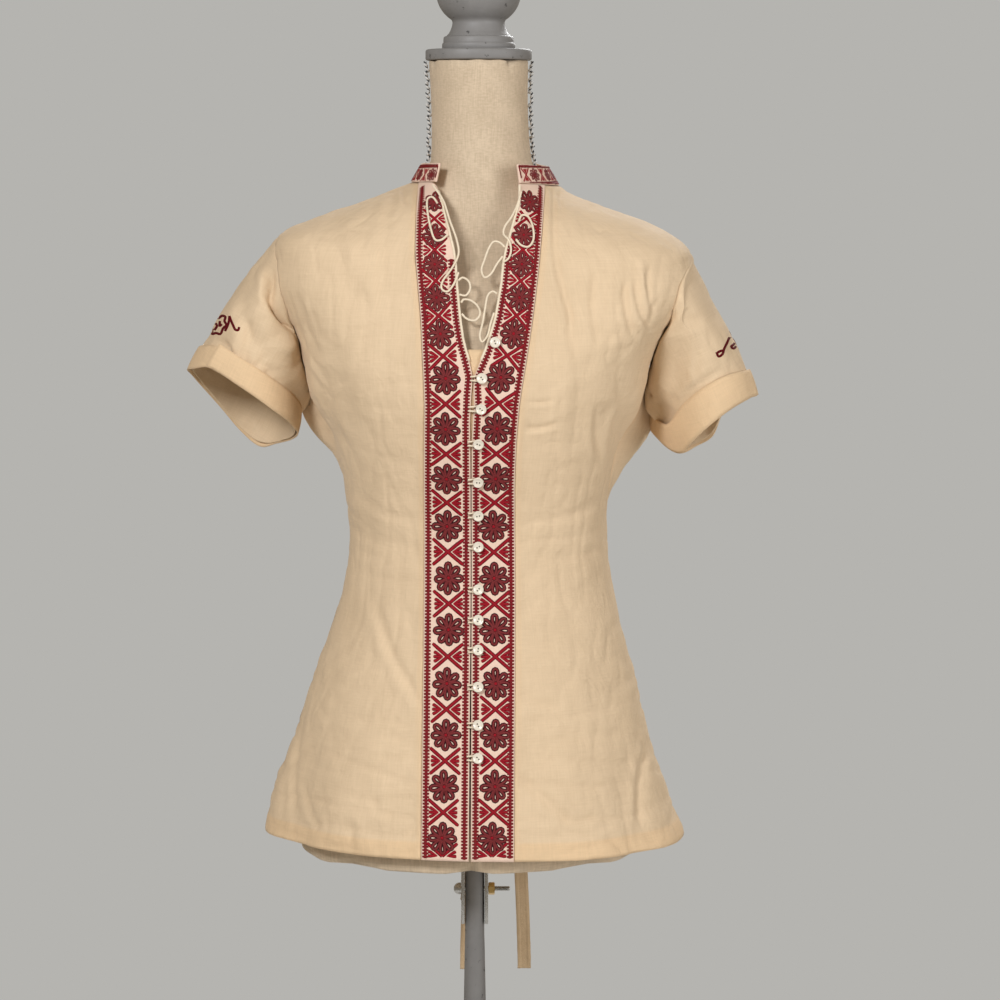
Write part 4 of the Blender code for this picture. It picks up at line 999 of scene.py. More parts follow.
for side, label, inner, outer, flower_column in (("right", "right_band", 2, 1, 1), ("left", "left_band", 3, 4, 2)):
    tree = bands[label]
    toward = 1 if side == "right" else -1      # from the outer edge to the opening
    middles, outs = [], []
    for i in range(75):
        z = 0.7045 + (1.338 - 0.7045) * i / 74
        x = (band_value(z, outer) + band_value(min(z, 1.26), outer) + toward * 0.0425) / 2
        x = band_value(z, outer) + toward * 0.0130
        hit, normal, _, _ = tree.ray_cast(Vector((x, -0.4, z)), Vector((0, 1, 0)))
        if hit is None:
            continue
        middles.append(hit)
        outs.append(normal)
    outs = [sum(outs[max(i - 2, 0):i + 3], Vector()).normalized() for i in range(len(outs))]
    ribbon = Ribbon(tree, middles, outs)

    def across(z, x):
        """How far across the ribbon a place is; the ribbon's x runs to the viewer's left."""
        return x - float(np.interp(z, [m.z for m in middles], [m.x for m in middles]))

    first = ribbon.at(0.1)
    sense = 1 if first[1].cross(first[2]).x > 0 else -1
    cloth = Stitching()
    for row in FLOWERS:
        flower(cloth, sense * across(row[0], row[flower_column]), ribbon.run_at(row[0]), row[3], row[3] * 1.10)
    for above, below in zip(FLOWERS, FLOWERS[1:]):
        z = (above[0] + below[0]) / 2
        x = (above[flower_column] + below[flower_column]) / 2
        cross(cloth, sense * across(z, x), ribbon.run_at(z), (above[3] + below[3]) / 2 * 1.0, 0.0245)
    low = FLOWERS[-1]
    cross(cloth, sense * across(0.7045, low[flower_column]), ribbon.run_at(0.7055), 0.0285, 0.0245, low=0)
    worked = [lay_stitching(side + "_band_flowers", cloth, ribbon)]
    for name, column, inset, start, end in (
            ("outer_border", outer, 0.0040, 0.7036, 1.3420),
            ("inner_border", inner, 0.0044, 0.7036, 1.2680 if side == "right" else 1.2800)):
        middles_here, outs_here = [], []
        way = toward if column == outer else -toward
        for i in range(90):
            z = start + (end - start) * i / 89
            shift = float(lean(label, band_value(z, column), z)) if column == inner else 0.0
            hit, normal, _, _ = tree.ray_cast(Vector((band_value(z, column) + shift + way * inset, -0.4, z)),
                                              Vector((0, 1, 0)))
            if hit is not None:
                middles_here.append(hit)
                outs_here.append(normal)
        edge_ribbon = Ribbon(tree, middles_here, outs_here)
        cloth = Stitching()
        border(cloth, 0.0, 0.0, edge_ribbon.runs[-1], 0.0027, (-1, 1))
        worked.append(lay_stitching(side + "_" + name, cloth, edge_ribbon))

    # A narrow binding of the same cotton closes the band's free edge along the V.
    route = []
    for i in range(60):
        z = 1.1750 + (1.3380 - 1.1750) * i / 59
        at = band_value(z, inner) + float(lean(label, band_value(z, inner), z)) - toward * 0.0008
        hit = tree.ray_cast(Vector((at, -0.4, z)), Vector((0, 1, 0)))[0]
        if hit is not None:
            route.append(hit + Vector((toward * 0.0003, 0.0002, 0)))
    binding = tube(side + "_edge_binding", route, 0.0013, 8)
    finish_piece(binding, loop_cotton, "loop_cord")

# The underlap: the guard's upper end shows as plain cloth between the bands at the V's foot.
shape = bmesh.new()
grid = []
form_tree = tree_of(form)
for i in range(13):
    z = 1.1480 + 0.0370 * i / 12
    ends = []
    for label, column in (("right_band", 2), ("left_band", 3)):
        x = band_value(z, column) + float(lean(label, band_value(z, column), z))
        inset = -0.0030 if label == "right_band" else 0.0030
        hit = bands[label].ray_cast(Vector((x + inset, -0.4, z)), Vector((0, 1, 0)))[0]
        ends.append(Vector((x + inset * 0.6, hit.y + 0.0024, z)))
    row = []
    for k in range(9):
        point = ends[0].lerp(ends[1], k / 8)
        under = form_tree.ray_cast(Vector((point.x, -0.4, z)), Vector((0, 1, 0)))[0]
        point.y = min(point.y, under.y - 0.0012)
        row.append(shape.verts.new(point))
    grid.append(row)
for low, high in zip(grid, grid[1:]):
    for k in range(8):
        shape.faces.new((low[k], low[k + 1], high[k + 1], high[k]))
mesh = bpy.data.meshes.new("underlap")
shape.to_mesh(mesh)
shape.free()
underlap = bpy.data.objects.new("underlap", mesh)
home.objects.link(underlap)
paint_layers(underlap, np.ones(len(mesh.vertices)))
body_map(underlap)
thicken(underlap, 0.0008)
finish_piece(underlap, cotton, "cotton")

# The collar's small repeat: a flower and a slim cross between two thin dark lines, worked
# from both front ends towards the nape.
collar_tree = bands["stand_collar"]
middles, outs = [], []
for i in range(161):
    angle = math.radians(-66 + (238 + 66) * i / 160)
    ray = Vector((math.cos(angle), math.sin(angle), 0))
    start = Vector((0.0105, -0.004, 1.3445)) + ray * 0.2
    hit, normal, _, _ = collar_tree.ray_cast(start, -ray, 0.195)
    if hit is not None and normal.dot(ray) > 0.0:
        middles.append(hit)
        outs.append(normal)
outs = [sum(outs[max(i - 3, 0):i + 4], Vector()).normalized() for i in range(len(outs))]
collar_ribbon = Ribbon(collar_tree, middles, outs)
cloth = Stitching()
collar_length = collar_ribbon.runs[-1]
for front_end, sense, first in ((0.0, 1, "cross"), (collar_length, -1, "flower")):
    at, kind = front_end + sense * 0.0088, first
    while abs(at - front_end) < collar_length / 2:
        longer = float(np.interp(abs(at - front_end), (0.030, 0.065), (1.6, 1.0)))
        if kind == "flower":
            flower(cloth, 0.0, at, 0.0132, 0.0112 * longer, small=True)
        else:
            cross(cloth, 0.0, at, 0.0128, 0.0070 * longer)
        at += sense * 0.0086 * longer
        kind = "flower" if kind == "cross" else "cross"
for edge in (-0.0086, 0.0086):
    border(cloth, edge, 0.0006, collar_length - 0.0006, 0.0015, (-1, 1), BORDER, 0.0022)
for end in (0.0010, collar_length - 0.0010):
    cloth.strip([(v, end) for v in (-0.0088, -0.0030, 0.0, 0.0030, 0.0088)], 0.0020, 0.0004, BORDER)
worked = lay_stitching("collar_flowers", cloth, collar_ribbon)


# The sleeves and their turned-up cuffs: short, set in, with the cuff's ends lapped.
def sleeve_map(made, side):
    """The sleeve's cloth in metres: round its axis and down along it."""
    places = vertex_places(made)
    away = 1 if side == "left" else -1
    axis = Vector((away * 0.42, 0.06, -0.9)).normalized()
    middle = Vector((away * 0.215, 0.0, 1.17))
    first = axis.cross(Vector((0, 1, 0))).normalized()
    second = axis.cross(first)
    offset = places - np.array(middle)
    a, b = offset @ np.array(first), offset @ np.array(second)
    cloth_map(made, np.arctan2(b, -a * away) * 0.06, offset @ np.array(axis))


SLEEVE_CREASES = {
    "right": (("armhole_fold", -0.1925, 1.2540, -0.1790, 1.1830, 0.0050, -0.0045),
              ("armhole_fold_low", -0.1800, 1.1900, -0.1700, 1.1350, 0.0045, -0.0035),
              ("crown", -0.2200, 1.2350, -0.2050, 1.1850, 0.0060, -0.0012),
              ("middle_fold", -0.2100, 1.2050, -0.2120, 1.1600, 0.0050, -0.0012),
              ("cuff_pull_1", -0.2180, 1.1560, -0.1950, 1.1760, 0.0022, -0.0008),
              ("cuff_pull_2", -0.2020, 1.1480, -0.1960, 1.1640, 0.0022, 0.0008),
              ("cuff_pull_3", -0.1950, 1.1430, -0.1850, 1.1560, 0.0022, -0.0008)),
    "left": (("armhole_fold", 0.1905, 1.2420, 0.1830, 1.1650, 0.0050, -0.0045),
             ("armhole_fold_low", 0.1840, 1.1700, 0.1790, 1.1250, 0.0045, -0.0035),
             ("crown", 0.2230, 1.2150, 0.2120, 1.1600, 0.0060, -0.0012),
             ("cuff_pull_1", 0.2050, 1.1250, 0.1900, 1.1450, 0.0025, -0.0009),
             ("cuff_pull_2", 0.2300, 1.1500, 0.2200, 1.1650, 0.0025, 0.0007)),
}


def seen_at(px, py, y):
    """The place at a depth y that falls on a point of the 1000 by 1000 picture."""
    tilt = math.radians(6.5)
    ray = Vector(((px - 500) / 3000,
                  math.cos(tilt) + math.sin(tilt) * (500 - py) / 3000,
                  -math.sin(tilt) + math.cos(tilt) * (500 - py) / 3000))
    start = Vector(camera.location)
    return start + ray * ((y - start.y) / ray.y)


def stretch_edge(made, reach, chosen):
    """Draw a surface's open edge out along itself, to close a seam."""
    shape = bmesh.new()
    shape.from_mesh(made.data)
    moves = []
    for vert in shape.verts:
        if vert.is_boundary and chosen(vert.co):
            inner = [e.other_vert(vert) for e in vert.link_edges if not e.is_boundary]
            if inner:
                way = sum(((vert.co - v.co).normalized() for v in inner), Vector())
                moves.append((vert, way.normalized() * reach))
    for vert, way in moves:
        vert.co += way
    shape.to_mesh(made.data)
    shape.free()


# The cuffs' edges, from the lapped front end round to the end that lies under it: where
# the lower and the upper edge fall in the picture, and their depths.
CUFF_EDGES = {
    "right": ((207, 365, -0.0485, 219.5, 343.5, -0.0485), (229, 379.5, -0.0560, 240, 357, -0.0550),
              (252, 395, -0.0555, 262, 371, -0.0520), (273, 410, -0.0440, 281, 384, -0.0380),
              (289, 422, -0.0230, 294, 394.5, -0.0170), (298, 433, 0.0040, 302, 408, 0.0080),
              (292, 439.5, 0.0320, 297, 421, 0.0340), (277, 443.5, 0.0514, 284, 425, 0.0566),
              (260, 446.5, 0.0640, 267, 426, 0.0701), (241, 431.5, 0.0676, 249, 411, 0.0745),
              (221, 408, 0.0617, 229, 390, 0.0691), (203, 388, 0.0473, 212, 370, 0.0550),
              (192, 375.5, 0.0265, 202, 356, 0.0336), (187, 369.5, 0.0026, 198, 348, 0.0092),
              (193, 368.5, -0.0209, 203, 345, -0.0158), (206, 367, -0.0385, 214, 345.5, -0.0340),
              (219, 373.5, -0.0465, 229, 352.5, -0.0455)),
    "left": ((757, 394.5, -0.0195, 748.5, 369, -0.0163), (748, 399.5, -0.0376, 742, 371, -0.0358),
             (733.5, 408, -0.0494, 729, 374.5, -0.0483), (718, 419, -0.0540, 712.5, 382, -0.0530),
             (703, 431.5, -0.0485, 695, 393.5, -0.0475), (690.5, 443.5, -0.0350, 680, 407.5, -0.0340),
             (680.5, 453.5, -0.0150, 667.5, 424, -0.0130), (666, 447, 0.0082, 656, 420, 0.0109),
             (651, 431.5, 0.0302, 650, 411, 0.0339), (663, 444, 0.0485, 655, 421, 0.0535),
             (680, 453.5, 0.0603, 670, 431, 0.0664), (697, 446, 0.0637, 686, 424, 0.0705),
             (713, 436, 0.0581, 702, 412, 0.0652), (723, 414, 0.0446, 714, 395, 0.0515),
             (740, 401, 0.0252, 732, 380, 0.0309), (757.5, 396, 0.0030, 750, 371.5, 0.0078)),
}
SLEEVE_OUTLINES = {
    "right": ((279, 230), (267, 246), (250, 265), (235.6, 286), (219.7, 310), (206.5, 333.8), (198.5, 347)),
    "left": ((685.6, 241), (695, 259), (703.6, 278), (713, 298), (725.8, 322.8), (737, 345), (748, 370))}


def ring_angle(points, side):
    """The angle of points round a sleeve's axis, seen from their middle."""
    away = 1 if side == "left" else -1
    axis = Vector((away * 0.42, 0.06, -0.9)).normalized()
    first = axis.cross(Vector((0, 1, 0))).normalized()
    second = axis.cross(first)
    offset = points - points.mean(0)
    return np.arctan2(offset @ np.array(second), offset @ np.array(first))


def make_cuff(side):
    """The cuff as a band round the sleeve's end, from its lapped end round to the other."""
    edges = CUFF_EDGES[side]
    lower = smooth_route([seen_at(*row[:3]) for row in edges], 6)
    upper = smooth_route([seen_at(*row[3:]) for row in edges], 6)
    middle = sum(lower, Vector()) / len(lower)
    rows = 9
    shape = bmesh.new()
    grid, ring = [], []
    for i, (low, high) in enumerate(zip(lower, upper)):
        column = []
        for k in range(rows):
            t = k / (rows - 1)
            point = low.lerp(high, t)
            out = point - middle
            out = Vector((out.x, out.y, 0)).normalized()
            if k == 0:
                ring.append(low - out * 0.0026 + (high - low) * 0.12)
            point += out * (0.0009 * math.sin(math.pi * t) + 0.0004 * noise.noise(point * 45))
            if i <= 3:
                point += out * 0.0016 * (1 - i / 4)
            elif i >= len(lower) - 8:
                point -= out * 0.0004
            column.append(shape.verts.new(point))
        grid.append(column)
    for left, right in zip(grid, grid[1:]):
        for k in range(rows - 1):
            shape.faces.new((left[k], right[k], right[k + 1], left[k + 1]))
    for face in shape.faces:
        face.normal_update()
    if sum(f.normal.dot(f.calc_center_median() - middle) for f in shape.faces) < 0:
        bmesh.ops.reverse_faces(shape, faces=shape.faces)
    mesh = bpy.data.meshes.new(side + "_cuff")
    shape.to_mesh(mesh)
    shape.free()
    cuff = bpy.data.objects.new(side + "_cuff", mesh)
    home.objects.link(cuff)
    return cuff, np.array([p[:] for p in ring])


def nearness(places, points):
    """Each place's distances to some points."""
    return np.sqrt(((places[:, None, :] - points[None, :, :]) ** 2).sum(2))


def drawn_along(places, points, moves, reach):
    """The moves of some points, handed on to the places near them."""
    far = nearness(places, points)
    weight = np.exp(-(far - far.min(1)[:, None]) / reach)
    return (weight @ moves) / weight.sum(1)[:, None], far.min(1)


def fit_sleeve(made, side, cuff_ring, cuff_tree):
    """Sew a sleeve to its armhole, set its end into the cuff and lay it against the body."""
    away = 1 if side == "left" else -1
    rings = edge_rings(made)
    places = vertex_places(made)
    rings.sort(key=lambda ring: np.abs(places[ring][:, 0]).mean())
    armhole, end = rings[0], rings[-1]
    start, finish = places[armhole], places[end]
    angle = ring_angle(cuff_ring, side)
    own = ring_angle(finish, side)
    goal = np.stack([np.interp(own, angle, cuff_ring[:, k], period=2 * math.pi) for k in range(3)], 1)
    moves = goal - finish
    order = np.argsort(own)
    even = moves[order]
    for _ in range(3):
        even = (np.roll(even, 1, 0) + even * 2 + np.roll(even, -1, 0)) / 4
    moves[order] = even
    drawn, far = drawn_along(places, finish, moves, 0.008)
    held = nearness(places, start).min(1)
    share = (1 - soft_step(far, 0.022, 0.070)) * soft_step(held, 0.0, 0.022)
    places = places + drawn * share[:, None]
    set_places(made, places)
    facing = vertex_normals(made)[:, 0] * away
    outline = [seen_at(px, py, 0.0) for px, py in SLEEVE_OUTLINES[side]]
    levels = np.linspace(outline[-1].z, min(outline[0].z, places[:, 2].max() - 0.002), 12)
    goal = np.interp(levels, [p.z for p in outline][::-1], [p.x * away for p in outline][::-1])
    reached = np.array([(places[np.abs(places[:, 2] - level) < 0.005][:, 0] * away).max() for level in levels])
    shift = np.interp(places[:, 2], levels, goal - reached) * soft_step(facing, -0.1, 0.6)
    places[:, 0] += away * shift * soft_step(held, 0.0, 0.015)
    for i, p in enumerate(places):
        hit, normal, _, reach = cuff_tree.find_nearest(Vector(p))
        if reach < 0.010:
            depth = (Vector(p) - hit).dot(normal)
            if depth > -0.0017:
                places[i] -= np.array(normal) * (depth + 0.0017) * float(1 - soft_step(np.array(reach), 0.006, 0.010))
    gaps = np.zeros(len(places))
    for i, p in enumerate(places):
        if 1.085 < p[2] < 1.235:
            toward = Vector((-away, 0, 0))
            reach = min([tree.ray_cast(Vector(p), toward, 0.034)[3] or 1.0 for tree in body_trees])
            if 0.0006 < reach < 0.034:
                free = float(1 - soft_step(np.array(reach), 0.020, 0.034)) * float(soft_step(-p[2], -1.235, -1.190))
                clear = cuff_tree.find_nearest(Vector(p))[3]
                gaps[i] = (reach - 0.0006) * free * float(soft_step(np.array(clear), 0.002, 0.012))
    even = nearness(places, places)
    near = np.exp(-(even / 0.005) ** 2)
    gaps = np.where(gaps > 0, np.maximum(gaps * 0.6, (near @ gaps) / near.sum(1)), (near @ gaps) / near.sum(1) * 0.6)
    places[:, 0] -= away * gaps
    sewn = np.array(armhole_edges)
    far = nearness(places[armhole], sewn)
    nearest = np.argsort(far, 1)[:, :2]
    moves = np.zeros((len(armhole), 3))
    for i, (a, b) in enumerate(nearest):
        p, q, r = sewn[a], sewn[b], places[armhole[i]]
        t = float(np.clip((r - p) @ (q - p) / max((q - p) @ (q - p), 1e-12), 0, 1))
        goal = p + (q - p) * t
        if np.linalg.norm(goal - r) < 0.024:
            moves[i] = goal - r
    drawn, far = drawn_along(places, places[armhole], moves, 0.002)
    places = places + drawn * (1 - soft_step(far, 0.0, 0.010))[:, None]
    highest = places[armhole][:, 2].max()
    crown = soft_step(places[:, 2], highest - 0.012, highest - 0.003)
    crown *= 1 - soft_step(nearness(places, places[armhole]).min(1), 0.0, 0.006)
    places[:, 0] -= away * 0.0125 * crown
    places[:, 2] += 0.0022 * crown
    set_places(made, places)


sleeves = {}
for side in ("right", "left"):
    away = 1 if side == "left" else -1
    cuff, cuff_ring = make_cuff(side)
    sleeve = cloth_surface("sleeve_" + side, side + "_sleeve", 3)
    relax(sleeve, 3)
    places, normals = vertex_places(sleeve), vertex_normals(sleeve)
    x, y, z = places.T
    front = soft_step(-y, -0.005, 0.02)
    move = crease_sum(x, z, SLEEVE_CREASES[side]) * front * (1.8 if side == "right" else 1.1)
    move += rumple(places, 0.045, 7.0) * 0.0014 + rumple(places, 0.02, 2.0) * 0.0006
    move -= crinkle(places, 0.03, 2.2, (1, 1, 1)) * 0.0014
    edge = soft_step(np.abs(x), 0.170, 0.190)
    places = places + normals * (move * (0.35 + 0.65 * edge))[:, None]
    set_places(sleeve, places)
    fit_sleeve(sleeve, side, cuff_ring, tree_of(cuff))
    stretch_edge(sleeve, 0.0010, lambda co: abs(co.x) < 0.189 and co.z > 1.135)
    paint_layers(sleeve, np.zeros(len(places)))
    sleeve_map(sleeve, side)
    sleeves[side] = tree_of(sleeve)
    paint_layers(cuff, np.ones(len(cuff.data.vertices)))
    sleeve_map(cuff, side)
    thicken(cuff, 0.0013)
    finish_piece(cuff, cotton, "cotton", "cuff_" + side)
    thicken(sleeve, CLOTH)
    finish_piece(sleeve, cotton, "cotton", "sleeve_" + side)

# The sleeves' small red motif, worked above the cuff on the outer side: a bow-like flower
# between two scrolled stems, the same on the front and the back.
SLEEVE_MOTIFS = {
    "right": (((209, 322), (206, 328), (203, 335)), ((213.5, 318), (210.5, 326), (208, 331)),
              ((211, 323), (215, 318.5), (219, 318), (222, 315.8), (225.5, 317), (224.5, 321), (226.5, 325),
               (223, 328.5), (220.5, 334), (216, 333), (212, 334), (212.5, 329), (210.5, 326)),
              ((215, 322), (217, 326), (214.5, 330)), ((220, 321), (219.5, 326), (222, 324)),
              ((229.5, 316), (231, 320.5), (233, 325), (235.2, 329.5), (238.2, 330), (239.2, 327)),
              ((225, 331), (227.5, 326), (229, 321), (229.5, 316))),
    "left": (((716.5, 352), (718.5, 356.5), (722.5, 354), (724, 349), (727, 343), (729.5, 337.5), (733, 336),
              (735.5, 340), (733.5, 344.5), (731, 346.5), (733.8, 348.5), (736.8, 345)),
             ((717.5, 352.5), (720.5, 351), (723.5, 350.5))),
}


def from_front(px, py):
    """The ray of the picture through one of its points."""
    near, far = seen_at(px, py, -0.4), seen_at(px, py, 0.0)
    return near, (far - near).normalized()


def from_back(px, py):
    """The same ray mirrored to the sleeve's back."""
    near, way = from_front(px, py)
    return Vector((near.x, 0.008 - near.y, near.z)), Vector((way.x, -way.y, way.z))


def from_outside(y, z):
    """A ray straight in from the wearer's left."""
    return Vector((0.4, y, z)), Vector((-1, 0, 0))


def sew_motif(name, cloth, sleeve, cast):
    """Stitching drawn flat, laid on a sleeve along the rays that cast gives for its points."""
    hits = []
    for x, y, lift in cloth.points:
        near, way = cast(x, y)
        hit, normal, _, _ = sleeve.ray_cast(near, way)
        if hit is not None and abs(normal.dot(way)) > 0.04:
            hits.append(hit + normal * (lift + 0.0001))
        else:
            hits.append(None)
    shape = bmesh.new()
    made_verts = [shape.verts.new(h) if h is not None else None for h in hits]
    for face in cloth.faces:
        corners = [made_verts[i] for i in face]
        if all(corners) and max((a.co - corners[0].co).length for a in corners) < 0.010:
            shape.faces.new(corners)
    bmesh.ops.delete(shape, geom=[v for v in shape.verts if not v.link_faces], context="VERTS")
    for face in shape.faces:
        face.normal_update()
        if sleeve.find_nearest(face.calc_center_median())[1].dot(face.normal) < 0:
            face.normal_flip()
    mesh = bpy.data.meshes.new(name)
    shape.to_mesh(mesh)
    shape.free()
    made = bpy.data.objects.new(name, mesh)
    home.objects.link(made)
    places = vertex_places(made)
    cloth_map(made, places[:, 0] + places[:, 2], places[:, 1])
    mesh.shade_smooth()
    finish_piece(made, cross_thread, "embroidered_band")
    return made


for side in ("right", "left"):
    cloth = Stitching()
    for line in SLEEVE_MOTIFS[side]:
        route = smooth_route([(px, py, 0.0) for px, py in line], 3)
        cloth.strip([(q.x, q.y) for q in route], 2.5, 0.00045, CROSS)
    worked = [sew_motif(side + "_sleeve_motif", cloth, sleeves[side], from_front),
              sew_motif(side + "_sleeve_motif_back", cloth, sleeves[side], from_back)]
    if side == "left":
        # The flower between the two scrolls faces straight out, past the picture's outline.
        cloth, height = Stitching(), seen_at(737, 343, 0.0).z
        for reach, count in ((0.0105, 60), (0.0040, 24)):
            ring = []
            for i in range(count):
                angle = 2 * math.pi * i / count
                size = reach * (0.80 + 0.20 * math.cos(5 * angle))
                ring.append((0.004 + size * math.sin(angle), height + size * math.cos(angle)))
            cloth.strip(ring, 0.0021, 0.00045, CROSS, closed=True)
        worked.append(sew_motif("left_sleeve_flower", cloth, sleeves[side], from_outside))


# The buttons: turned discs of pale shell with a raised rim, sewn on with thread. Their two holes are flat dark discs on
# the face: partly the thread's colour and partly painted shade inside the holes.
shell, tree, shader = new_material("pale_shell", 0.22, coat=0.4)
solid = add_node(tree, "ShaderNodeTexCoord").outputs["Object"]
cloudy = group_node(tree, blotch, Vector=solid, Patch_size=0.006)
tree.links.new(blended(tree, cloudy.outputs["Tone"], (0.86, 0.79, 0.66, 1), (0.70, 0.63, 0.51, 1)),
               shader.inputs["Base Color"])
button_thread, tree, shader = new_material("button_thread", 0.7)
shader.inputs["Base Color"].default_value = (0.10, 0.075, 0.05, 1)
BUTTON_PROFILE = ((0.0000, 0.00095), (0.0018, 0.00100), (0.0033, 0.00125), (0.0039, 0.00175), (0.0045, 0.00180),
                  (0.0050, 0.00135), (0.0051, 0.00080), (0.0046, 0.00020), (0.0034, 0.00000), (0.0000, 0.00000))


def turned(name, profile, place, steps):
    """A turned piece: its outline, (distance from the axis, height), spun round upright."""
    x, y, z = place
    mesh = bpy.data.meshes.new(name)
    mesh.from_pydata([(x + r, y, z + h) for r, h in profile],
                     [(i, i + 1) for i in range(len(profile) - 1)], [])
    made = bpy.data.objects.new(name, mesh)
    home.objects.link(made)
    bpy.ops.object.select_all(action="DESELECT")
    bpy.context.view_layer.objects.active = made
    made.select_set(True)
    bpy.ops.object.mode_set(mode="EDIT")
    bpy.ops.mesh.select_all(action="SELECT")
    bpy.ops.mesh.spin(steps=steps, angle=2 * math.pi, center=place, axis=(0, 0, 1))
    bpy.ops.mesh.select_all(action="SELECT")
    bpy.ops.mesh.remove_doubles(threshold=0.00002)
    bpy.ops.mesh.normals_make_consistent(inside=False)
    bpy.ops.object.mode_set(mode="OBJECT")
    bpy.ops.object.shade_smooth_by_angle(angle=math.radians(38))
    return made


button_model = turned("button_model", BUTTON_PROFILE, (0, 0, 0), 24)
button_model.data.materials.append(shell)
button_model.data.materials.append(button_thread)
shape = bmesh.new()
shape.from_mesh(button_model.data)
# Two flat dark discs stand for the holes: painted shade, with the thread's colour.
for sign in (-1, 1):
    hole = [shape.verts.new((0.00075 * math.cos(math.pi * k / 5), sign * 0.00125 + 0.00075 * math.sin(math.pi * k / 5),
                             0.00108)) for k in range(10)]
    shape.faces.new(hole).material_index = 1
shape.to_mesh(button_model.data)
shape.free()
for number in range(1, 14):
    node = "button_%02d" % number
    co = np.array([v.co[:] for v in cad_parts[node].data.vertices])
    middle = co.mean(0)
    facing = Vector(np.linalg.svd(co - middle)[2][2])
    if facing.y > 0:
        facing.negate()
    reach = (co - middle) @ np.array(facing)
    top = Vector(middle) + facing * float(reach.max())
    rim = (co - np.array(top)) @ np.array(facing)
    centre = Vector(co[rim > -0.0022].mean(0))
    centre += facing * (top - centre).dot(facing)
    centre.x += 0.7 * float(lean("left_band", centre.x - 0.006, centre.z))
    made = button_model.copy()
    made.data = button_model.data.copy()
    made.name = "shell_" + node
    home.objects.link(made)
    turn = facing.to_track_quat("Z", "Y").to_matrix().to_4x4()
    made.data.transform(Matrix.Translation(centre - facing * 0.0018) @ turn @ Matrix.Rotation(0.3 * number, 4, "Z"))
    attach(made, "root")
    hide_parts(node)
bpy.data.objects.remove(button_model)


# The short loops round the fastened buttons: the same narrow tube, sewn into the right
# band's edge, out round the button's foot and back.
for number in range(2, 14):
    node = "loop_%02d" % number
    co = np.array([v.co[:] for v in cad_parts[node].data.vertices])
    low, high = co.min(0), co.max(0)
    shift = 0.7 * float(lean("left_band", 0.0, (low[2] + high[2]) / 2))
    stem = low[0] + float(lean("right_band", 0.0, (low[2] + high[2]) / 2)) - 0.001
    turn_x, mid_z, half = high[0] + shift, (low[2] + high[2]) / 2, (high[2] - low[2]) / 2 - 0.0009
    fronts_y = [co[np.abs(co[:, 0] - q) < 0.003][:, 1].min() for q in (low[0] + 0.001, high[0] - 0.001)]
    points = [(stem, fronts_y[0] + 0.0006, mid_z + half * 0.62), ((stem * 2 + turn_x) / 3, fronts_y[0] + 0.0004, mid_z + half * 0.75),
              ((stem + turn_x * 2) / 3, fronts_y[1] + 0.0006, mid_z + half), (turn_x, fronts_y[1] + 0.0008, mid_z + half * 0.4),
              (turn_x, fronts_y[1] + 0.0008, mid_z - half * 0.4), ((stem + turn_x * 2) / 3, fronts_y[1] + 0.0006, mid_z - half),
              ((stem * 2 + turn_x) / 3, fronts_y[0] + 0.0004, mid_z - half * 0.75), (stem, fronts_y[0] + 0.0006, mid_z - half * 0.62)]
    made = tube("button_" + node, smooth_route(points, 4), 0.0009, 6)
    paint_layers(made, np.ones(len(made.data.vertices)))
    finish_piece(made, loop_cotton, "loop_cord", node)

# The ties: a narrow belt of doubled cotton across the back, sewn into the side seams, knotted in the middle, with two
# ends that hang down behind the stand. Their cotton is the top's cream cotton made darker: painted shade, for the
# shadow behind the form.
# A darker copy of the cream cotton: painted shade behind the form.
tie_cotton_painted_shade = dress_cloth("tie_cotton_painted_shade", (0.560, 0.415, 0.265), (0.600, 0.435, 0.265), 0.08,
                         2100, 0.020, 0.00016, 1.5, 0.03, 1.2, crumple=0.4)
for node, label, facing in (("tie_belt_left", "left_tie_belt", None), ("tie_belt_right", "right_tie_belt", None),
                            ("tie_end_left", "left_tie_end", (0, 1, 0)), ("tie_end_right", "right_tie_end", (0, 1, 0))):
    tie = cloth_surface(node, label, 4 if facing else 3, rim=0.0018, facing=facing)
    places, normals = vertex_places(tie), vertex_normals(tie)
    move = rumple(places, 0.03, 8.0) * 0.0008 - crinkle(places, 0.02, 4.4) * 0.0006
    if facing:
        top, bottom = places[:, 2].max(), places[:, 2].min()
        middle = np.array([places[np.abs(places[:, 2] - z) < 0.012][:, 0].mean() for z in places[:, 2]])
        inside = np.abs(places[:, 0] - middle)
        move -= 0.0007 * np.exp(-((inside - 0.0046) / 0.0007) ** 2)
        for fold in (0.28, 0.45, 0.58, 0.80, 0.90):
            move -= 0.0012 * np.exp(-((places[:, 2] - bottom - (top - bottom) * fold) / 0.0016) ** 2)
        if label == "right_tie_end":
            places[:, 0] += 0.0036 - 0.0014 * (top - places[:, 2]) / (top - bottom)
        places[:, 2] = top + (places[:, 2] - top) * 1.018
    else:
        places[:, 0] *= 0.985
    set_places(tie, places + normals * move[:, None])
    paint_layers(tie, np.ones(len(places)))
    cloth_map(tie, places[:, 0], places[:, 2])
    thicken(tie, 0.0014)
    finish_piece(tie, tie_cotton_painted_shade, "cotton", node)

